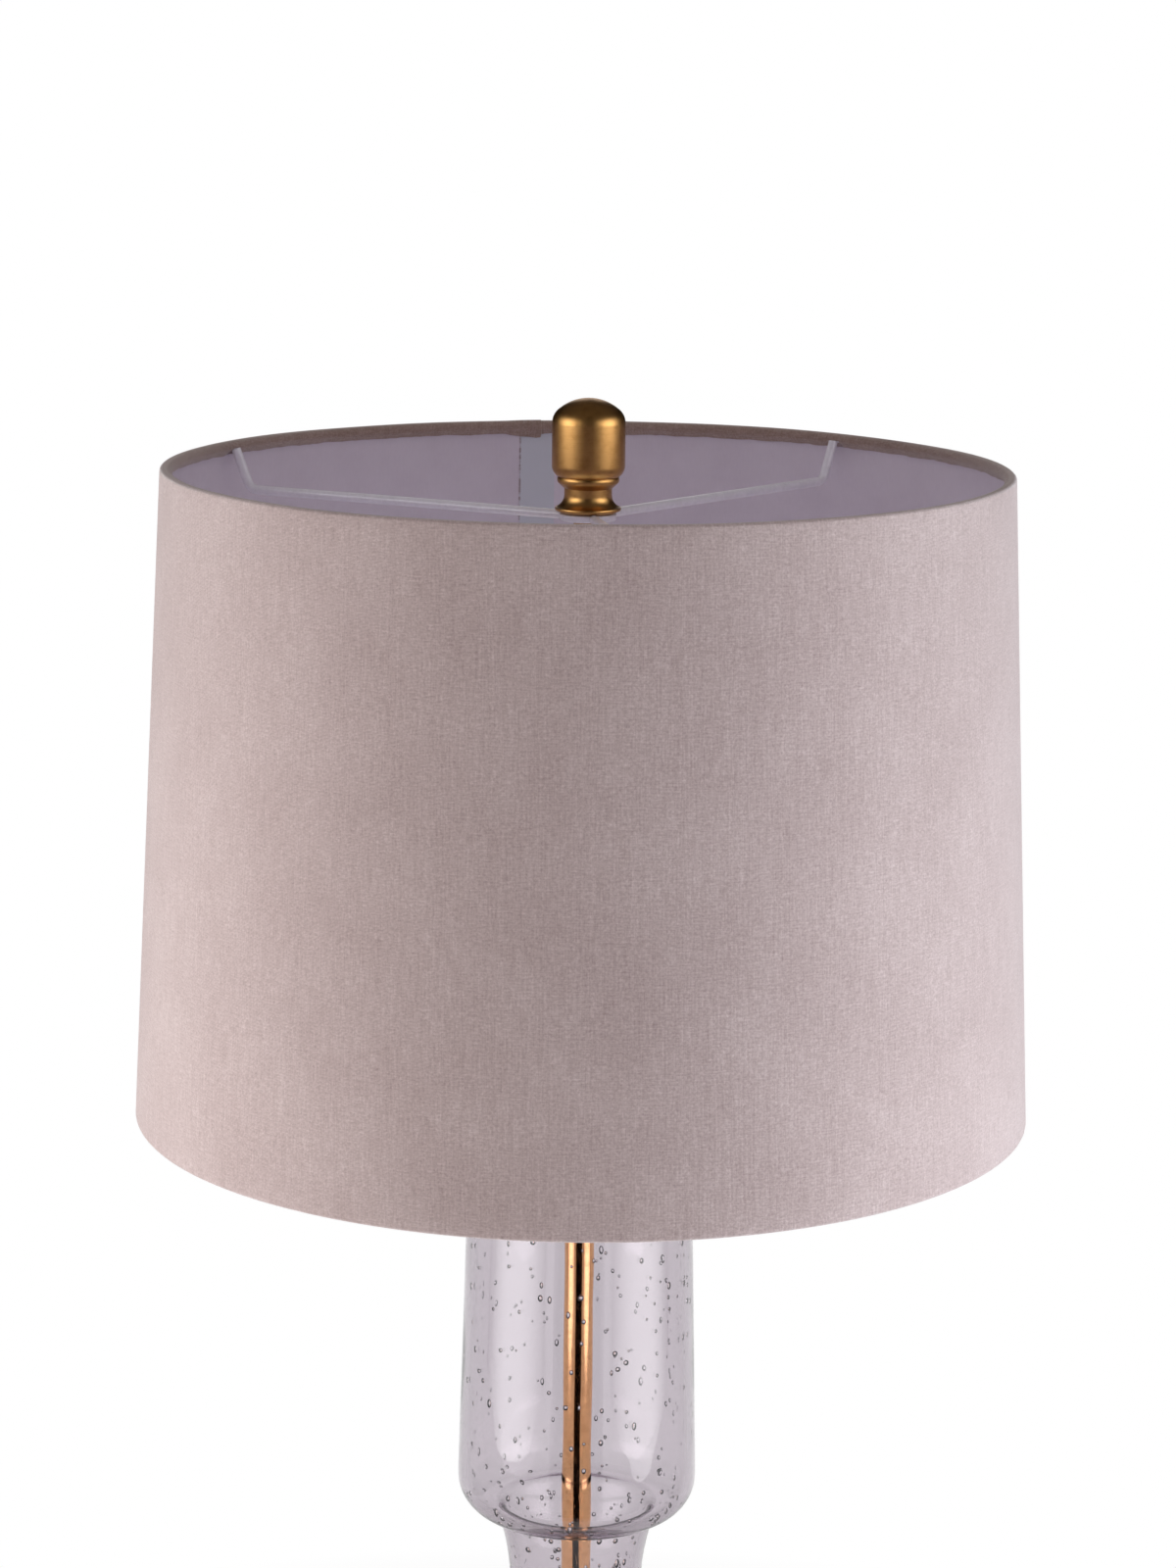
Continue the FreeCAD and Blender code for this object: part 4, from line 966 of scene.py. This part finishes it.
        # Painted shade: the turned-in linen is the cover's linen mixed darker, for the shadow on the rims'
        # inside.
        hem = Weave("shaded turned linen", paint(158, 135, 126), paint(124, 102, 93), paint(186, 163, 153),
                    self.top_radius).mix()
        flaps = [self.build_flap("upper_flap", "top_hem", Edge.UPPER),
                 self.build_flap("lower_flap", "bottom_hem", Edge.LOWER)]
        for flap in flaps:
            flap.data.materials.append(hem)
        liner = self.build_liner()
        return [cover, *flaps, liner, *super().build()]


# ---------------------------------------------------------------- the column


@dataclass
class Column(Dressed):
    """Blown seeded glass round a brass tube, under a brass cap, neck and nut."""

    level: float = 29 * MM
    wall: float = 4 * MM
    foot: Point = (62 * MM, 30 * MM)
    waist: Point = (25 * MM, 130 * MM)
    knop: Point = (39 * MM, 168 * MM)
    neck: Point = (28.8 * MM, 208 * MM)
    fold: Point = (35.2 * MM, 243 * MM)
    cup_radius: float = 52.1 * MM
    cup_corner: float = 16.5 * MM
    cup_top_radius: float = 48.6 * MM
    shoulder: float = 12 * MM
    height: float = 401 * MM
    mouth_radius: float = 9 * MM
    rounds: int = 96
    step: float = 2.2 * MM
    easing: int = 5
    ripple: float = 0.09 * MM
    ripple_size: float = 14 * MM
    ripple_draw: float = 0.6
    ripple_start: float = 11 * MM
    ripple_full: float = 14 * MM
    inner_offset: float = 40.0
    seeds: int = 1120
    smallest_seed: float = 0.5 * MM
    largest_seed: float = 1.25 * MM
    seed_falloff: float = 1.6
    seed_depths: tuple[float, float] = (0.4, 0.6)
    seed_lengths: tuple[float, ...] = (1.0, 1.1, 1.3, 1.8)
    plain_rows: tuple[int, int] = (4, 12)
    finishes: ClassVar[Dressing] = {
        Metal("bright brass", paint(244, 190, 138), paint(214, 160, 110), roughness=0.09, lay=Lay.ROUND,
              line_depth=0.001 * MM): ("rod_sleeve", "lock_nut"),
        satin_brass("turned brass"): ("vase_cap", "neck_spacer"),
        PLATED_STEEL: ("threaded_pipe",),
        Glass("soft clear ring", tint=paint(236, 238, 236), depth_density=30.0, roughness=0.25,
              bend=1.4): ("glass_seat", "cap_gasket"),
    }

    def outer_side(self) -> list[Point]:
        """The glass's outer side, from its lower edge to its mouth.

        Returns:
            Its points as radius and height above the glass's foot.
        """
        bend_centre = (self.cup_radius - self.cup_corner, self.fold[1] + self.cup_corner)
        shoulder_centre = (self.cup_top_radius - self.shoulder, self.height - self.shoulder)
        line = [(self.foot[0], 0.0), self.foot]
        line += reverse_curve(self.foot, self.waist) + reverse_curve(self.waist, self.knop)
        line += reverse_curve(self.knop, self.neck) + flare(self.neck, self.fold)
        line += corner(bend_centre, self.cup_corner, -90, 0)
        line += corner(shoulder_centre, self.shoulder, 0, 90)
        line.append((self.mouth_radius, self.height))
        return softened(filled(line, self.step), self.easing)

    def seed_ball(self) -> tuple[list[Vector], list[tuple[int, ...]]]:
        """A ball of radius 1 whose faces look at its inside, as the skin of a void does.

        Returns:
            Its vertices and its faces.
        """
        work = bmesh.new()
        bmesh.ops.create_icosphere(work, subdivisions=2, radius=1.0)
        places = [vertex.co.copy() for vertex in work.verts]
        faces = [tuple(vertex.index for vertex in reversed(face.verts)) for face in work.faces]
        work.free()
        return places, faces

    def add_seeds(self, shell: bpy.types.Mesh) -> bpy.types.Mesh:
        """Blows air bubbles into the glass's wall.

        Args:
            shell: the glass without bubbles.

        Returns:
            A mesh with the shell and the bubbles.
        """
        dice = random.Random(7)
        ball, ball_faces = self.seed_ball()
        vertices = [vertex.co.copy() for vertex in shell.vertices]
        faces = [tuple(face.vertices) for face in shell.polygons]
        outer = self.outer_side()
        first_row, last_rows = self.plain_rows
        pairs = list(zip(outer, shifted(outer, -self.wall)))[first_row:-last_rows]
        weights = [outer_place[0] for outer_place, inner_place in pairs]
        for (out_radius, out_height), (in_radius, in_height) in dice.choices(pairs, weights, k=self.seeds):
            grown = dice.random() ** self.seed_falloff
            size = self.smallest_seed + (self.largest_seed - self.smallest_seed) * grown
            share = dice.uniform(*self.seed_depths)
            radius = out_radius + (in_radius - out_radius) * share
            height = out_height + (in_height - out_height) * share + dice.uniform(-1, 1) * self.step / 2
            centre = around(dice.uniform(0, FULL_TURN), radius, self.level + height)
            length = dice.choice(self.seed_lengths)
            first = len(vertices)
            vertices += [centre + Vector((place.x, place.y, place.z * length)) * size for place in ball]
            faces += [tuple(first + corner_index for corner_index in face) for face in ball_faces]
        mesh = bpy.data.meshes.new(shell.name)
        mesh.from_pydata(vertices, [], faces)
        mesh.shade_smooth()
        return mesh

    def build_glass(self) -> Piece:
        """The glass, with its rippled sides and the seeds in its wall.

        Returns:
            The piece.
        """
        outer = self.outer_side()
        inner = shifted(outer, -self.wall)
        sections = []
        for part in range(self.rounds):
            turn = FULL_TURN * part / self.rounds
            section = []
            for seed, line in ((0.0, outer), (self.inner_offset, inner[::-1])):
                for radius, height in line:
                    place = around(turn, radius, height * self.ripple_draw) / self.ripple_size
                    swell = noise.noise(place + Vector((seed, 0, 0))) * self.ripple
                    swell *= soft_step(radius, self.ripple_start, self.ripple_full)
                    section.append(around(turn, radius + swell, self.level + height))
            sections.append(section)
        glass = skin("seeded_glass", sections, "root")
        glass.data = self.add_seeds(glass.data)
        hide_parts("glass_body")
        glass.data.materials.append(Glass("pale seeded glass", tint=paint(253, 252, 253)).mix())
        return glass

    def build(self) -> list[Piece]:
        """Dresses the metal in and on the glass, and builds the glass.

        Returns:
            The pieces made.
        """
        return [*super().build(), self.build_glass()]


# ---------------------------------------------------------------- foot, holder, bulb, harp and finial


@dataclass
class Foot(Dressed):
    """Satin brass foot with its ballast and hardware inside, a fibre disc and a felt below."""

    finishes: ClassVar[Dressing] = {
        satin_brass("satin brass foot"): ("base_foot",),
        Metal("cast iron", paint(92, 90, 88), paint(112, 74, 52), roughness=0.6, line_pitch=0.9 * MM,
              line_depth=0.12 * MM): ("base_weight",),
        PLATED_STEEL: ("base_washer", "base_lock_washer", "base_nut"),
        Coating("pressed fibre", paint(118, 84, 62), paint(92, 62, 46), roughness=0.8, spot=2 * MM,
                grain=0.5 * MM, grain_depth=0.05 * MM): ("base_cover",),
        Coating("brown felt", paint(84, 68, 58), paint(58, 46, 40), roughness=0.95, spot=1.5 * MM,
                grain=0.35 * MM, grain_depth=0.25 * MM, sheen=0.6): ("felt_pad",),
        Coating("black plastic bushing", paint(34, 32, 32), paint(48, 46, 45),
                roughness=0.4): ("cord_bushing",),
    }


@dataclass
class Holder(Dressed):
    """Brass lamp holder with its card tube, core, contacts and turn switch."""

    finishes: ClassVar[Dressing] = {
        Metal("rolled brass", paint(224, 188, 132), paint(190, 148, 92), roughness=0.2, lay=Lay.ROUND,
              line_depth=0.002 * MM): ("socket_cap", "socket_shell", "centre_contact", "switch_stem"),
        Metal("brass screws", paint(216, 178, 118), paint(170, 126, 74),
              roughness=0.28): ("terminal_screws",),
        PLATED_STEEL: ("cap_screw",),
        Coating("grey card", paint(150, 140, 126), paint(126, 114, 100), roughness=0.9, grain=0.4 * MM,
                grain_depth=0.05 * MM, stretch=(1, 1, 0.2)): ("socket_liner",),
        Coating("black moulded core", paint(36, 33, 32), paint(54, 50, 48),
                roughness=0.45): ("socket_body",),
        Metal("drawn aluminium", paint(206, 206, 206), paint(168, 168, 168), roughness=0.3,
              lay=Lay.ROUND): ("screw_shell",),
        Coating("black knob", paint(30, 28, 28), paint(46, 44, 43), roughness=0.35,
                coat=0.3): ("switch_knob",),
    }


@dataclass
class Bulb(Dressed):
    """Frosted glass globe on an aluminium screw cap."""

    finishes: ClassVar[Dressing] = {
        Coating("frosted glass", paint(236, 234, 230), paint(226, 224, 222), roughness=0.3, spot=14 * MM,
                grain=0.25 * MM, grain_depth=0.008 * MM, coat=0.4): ("bulb_envelope",),
        Metal("screw cap aluminium", paint(204, 204, 206), paint(160, 160, 160), roughness=0.28,
              lay=Lay.ROUND): ("bulb_cap",),
        Coating("black glass", paint(20, 18, 22), paint(34, 30, 36), roughness=0.12,
                coat=0.6): ("bulb_insulator",),
        Metal("solder", paint(176, 176, 172), paint(130, 128, 122), roughness=0.35, line_pitch=0.8 * MM,
              line_depth=0.05 * MM): ("bulb_contact",),
    }


@dataclass
class Harp(Dressed):
    """Brass wire harp, its saddle, locking sleeves and swivel stud."""

    finishes: ClassVar[Dressing] = {
        Metal("brassed wire", paint(226, 192, 138), paint(190, 150, 96), roughness=0.16,
              line_depth=0.002 * MM): (
            "harp_loop", "harp_saddle", "harp_sleeve_left", "harp_sleeve_right", "harp_stud"),
    }


@dataclass
class Finial(Dressed):
    """Turned satin brass finial."""

    finishes: ClassVar[Dressing] = {
        satin_brass("finial brass"): ("finial",),
    }


# ---------------------------------------------------------------- the studio


class Side(IntEnum):
    """The studio's two sides, as the camera sees them."""

    LEFT = -1
    RIGHT = 1


@dataclass
class Studio:
    """White floor, two large soft lamps and a camera, with cards and panels that only gloss shows."""

    camera_place: tuple[float, float, float] = (0.0014, -1.661, 0.934)
    look_down: float = math.radians(11.49)
    lean: float = math.radians(0.68)
    lens: float = 91.9
    sensor: float = 36.0
    nearest: float = 0.1
    furthest: float = 60.0
    left_turn: float = math.radians(84)
    right_turn: float = math.radians(77)
    left_light: tuple[float, float, float] = (1.0, 0.995, 0.975)
    right_light: tuple[float, float, float] = (0.98, 1.06, 1.13)
    lamp_distance: float = 0.95
    lamp_level: float = 0.12
    lamp_target: float = 0.5
    lamp_size: tuple[float, float] = (1.0, 0.85)
    lamp_power: float = 16.4
    sky: float = 0.42
    sky_tint: Colour = (1.0, 0.95, 0.96, 1.0)
    panel_turn: float = math.radians(66)
    panel_width: float = 1.25
    panel_heights: tuple[float, float] = (-0.45, 1.45)
    panel_glow: float = 4.0
    panel_edges: tuple[float, float] = (0.95, 0.7)
    floor_radius: float = 14.0
    floor_sides: int = 96
    floor_gap: float = 0.3 * MM
    floor_glow: float = 0.35
    floor_fade: tuple[float, float] = (0.2, 0.62)
    dark_turn: float = math.radians(25)
    front_reach: tuple[float, float] = (0.4, 1.45)
    floor_card_level: float = 2 * MM
    card_height: float = 1.7
    flag_turns: tuple[float, float] = (math.radians(106), math.radians(170))
    flag_distance: float = 1.7
    ceiling: float = 2.0
    ceiling_radius: float = 2.4
    ceiling_sides: int = 12

    def build_world(self) -> None:
        """An even soft light from all round, which looks white."""
        world = bpy.data.worlds.new("soft sky")
        bpy.context.scene.world = world
        world.use_nodes = True
        wiring = Wiring(world.node_tree)
        seen = wiring.seen()
        sky = wiring.add("Background", {"Color": wiring.blended(seen, self.sky_tint, WHITE),
                                        "Strength": wiring.spread(seen, self.sky, 1.0)})
        wiring.add("OutputWorld", {"Surface": sky.outputs[0]})

    def floor_finish(self) -> Material:
        """Pale paint that keeps the lamp's shadow, turns white away from it and is clear from below.

        Returns:
            The material.
        """
        recipe = Recipe("white floor")
        recipe.fix(base_color=paint(232, 230, 230), roughness=0.8, specular_ior_level=0.2)
        away = recipe.add("VectorMath", {0: recipe.places}, operation="LENGTH").outputs["Value"]
        far = recipe.spread(away, self.floor_glow, 1.0, *self.floor_fade)
        glow = recipe.add("Emission").outputs[0]
        top = recipe.either(recipe.reckon("MULTIPLY", far, recipe.seen()), recipe.body, glow)
        below = recipe.add("NewGeometry").outputs["Backfacing"]
        recipe.show(recipe.either(below, top, recipe.clear()))
        return recipe.material

    def build_floor(self) -> Piece:
        """A round floor, a hair below the lamp's felt.

        Returns:
            The floor.
        """
        mesh = bpy.data.meshes.new("floor")
        work = bmesh.new()
        bmesh.ops.create_circle(work, cap_ends=True, segments=self.floor_sides, radius=self.floor_radius)
        work.to_mesh(mesh)
        work.free()
        mesh.materials.append(self.floor_finish())
        floor = put("floor", mesh)
        floor.location.z = -self.floor_gap
        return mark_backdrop(floor)

    def beside(self, turn: float, distance: float, height: float = 0.0) -> Vector:
        """The place at an angle from the front, a distance from the axis and a height."""
        return Vector((math.sin(turn), -math.cos(turn), 0.0)) * distance + Vector((0, 0, height))

    def build_lamp(self, name: str, turn: float, colour: tuple[float, float, float]) -> None:
        """A large soft lamp beside the object, which no eye, mirror or glass shows.

        Args:
            name: the lamp's name.
            turn: its angle from the front, below 0 for the left.
            colour: the light's colour.
        """
        light = bpy.data.lights.new(name, "AREA")
        light.shape = "RECTANGLE"
        light.size, light.size_y = self.lamp_size
        light.energy = self.lamp_power
        light.color = colour
        lamp = put(name, light)
        lamp.location = self.beside(turn, self.lamp_distance, self.lamp_level)
        aim = Vector((0, 0, self.lamp_target)) - lamp.location
        lamp.rotation_euler = aim.to_track_quat("-Z", "Y").to_euler()
        lamp.visible_camera = False
        lamp.visible_glossy = False
        lamp.visible_transmission = False

    def velvet(self, name: str, colour: Colour) -> Material:
        """Dark cloth for the cards.

        Args:
            name: the material's name.
            colour: the cloth's colour.

        Returns:
            The material.
        """
        recipe = Recipe(name)
        recipe.fix(base_color=colour, roughness=1.0, specular_ior_level=0.0)
        recipe.show_in_gloss(recipe.body)
        return recipe.material

    def panel(self) -> Material:
        """The face of a soft lamp as gloss shows it, bright in the middle and fading to its edges.

        Returns:
            The material.
        """
        recipe = Recipe("soft panel")
        places = recipe.split(recipe.add("TexCoord").outputs["Generated"])
        across, upwards = (recipe.reckon("SINE", recipe.reckon("MULTIPLY", places[axis], math.pi))
                           for axis in (1, 2))
        side_edge, top_edge = self.panel_edges
        glow = recipe.spread(across, 0.0, self.panel_glow, 0.0, side_edge)
        fade = recipe.spread(upwards, 0.0, 1.0, 0.0, top_edge)
        light = recipe.add("Emission", {"Strength": recipe.reckon("MULTIPLY", glow, fade)})
        recipe.show_in_gloss(light.outputs[0])
        recipe.material.cycles.emission_sampling = "NONE"
        return recipe.material

    def build_card(self, name: str, corners: Sequence[Sequence[float]], face: Material) -> Piece:
        """A card that the camera, the shadows and the light on the object pass by.

        Args:
            name: the card's name.
            corners: its corners in order.
            face: its material.

        Returns:
            The card.
        """
        mesh = bpy.data.meshes.new(name)
        mesh.from_pydata([Vector(place) for place in corners], [], [tuple(range(len(corners)))])
        mesh.materials.append(face)
        card = put(name, mesh)
        card.visible_camera = False
        card.visible_diffuse = False
        card.visible_shadow = False
        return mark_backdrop(card)

    def build_upright(self, name: str, start: Vector, end: Vector, heights: tuple[float, float],
                      face: Material) -> None:
        """A card over a line on the floor, between the heights of its lower and upper edge."""
        low, high = (Vector((0, 0, height)) for height in heights)
        self.build_card(name, (start + low, end + low, end + high, start + high), face)

    def build_cards(self) -> None:
        """Dark cards in front, on the floor, overhead and behind, and a bright panel at each side."""
        black = self.velvet("black velvet", paint(16, 15, 15))
        grey = self.velvet("grey velvet", paint(104, 98, 92))
        near, far = self.front_reach
        wide = math.tan(self.dark_turn)
        heights = (0.0, self.card_height)
        self.build_upright("front_card", Vector((-far * wide, -far, 0)), Vector((far * wide, -far, 0)),
                           heights, black)
        level = self.floor_card_level
        self.build_card("floor_card", ((-near * wide, -near, level), (near * wide, -near, level),
                                       (far * wide, -far, level), (-far * wide, -far, level)), black)
        turns = [FULL_TURN * part / self.ceiling_sides for part in range(self.ceiling_sides)]
        ceiling = [around(turn, self.ceiling_radius, self.ceiling) for turn in turns]
        self.build_card("ceiling_card", ceiling, grey)
        panel = self.panel()
        for side in Side:
            name = side.name.lower()
            start, end = (self.beside(side * turn, self.flag_distance) for turn in self.flag_turns)
            self.build_upright(f"{name}_flag", start, end, heights, black)
            middle = self.beside(side * self.panel_turn, self.lamp_distance)
            along = Vector((-middle.y, middle.x, 0)).normalized() * self.panel_width / 2
            self.build_upright(f"{name}_panel", middle - along, middle + along, self.panel_heights, panel)

    def build_camera(self) -> None:
        """The camera, a little above the shade and leaning as the picture leans."""
        camera = put("camera", bpy.data.cameras.new("camera"))
        camera.data.lens = self.lens
        camera.data.sensor_width = self.sensor
        camera.data.clip_start = self.nearest
        camera.data.clip_end = self.furthest
        pitched = Matrix.Rotation(math.radians(90) - self.look_down, 4, "X")
        leaned = Matrix.Rotation(self.lean, 4, "Z")
        camera.matrix_world = Matrix.Translation(self.camera_place) @ (pitched @ leaned)
        bpy.context.scene.camera = camera

    def build(self) -> None:
        """Builds the studio round the lamp."""
        self.build_camera()
        self.build_world()
        self.build_floor()
        self.build_lamp("left_softbox", -self.left_turn, self.left_light)
        self.build_lamp("right_softbox", self.right_turn, self.right_light)
        self.build_cards()
        bpy.context.scene.view_settings.view_transform = "Standard"


def main() -> None:
    """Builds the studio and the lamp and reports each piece."""
    logging.basicConfig(level=logging.INFO, format="%(name)s: %(message)s")
    Studio().build()
    for part in (Foot(), Column(), Holder(), Bulb(), Harp(), Shade(), Finial()):
        for piece in part.build():
            log.info("%s has %d faces", piece.name, len(piece.data.polygons))
        log.info("%s is done", type(part).__name__)


if __name__ == "__main__":
    main()
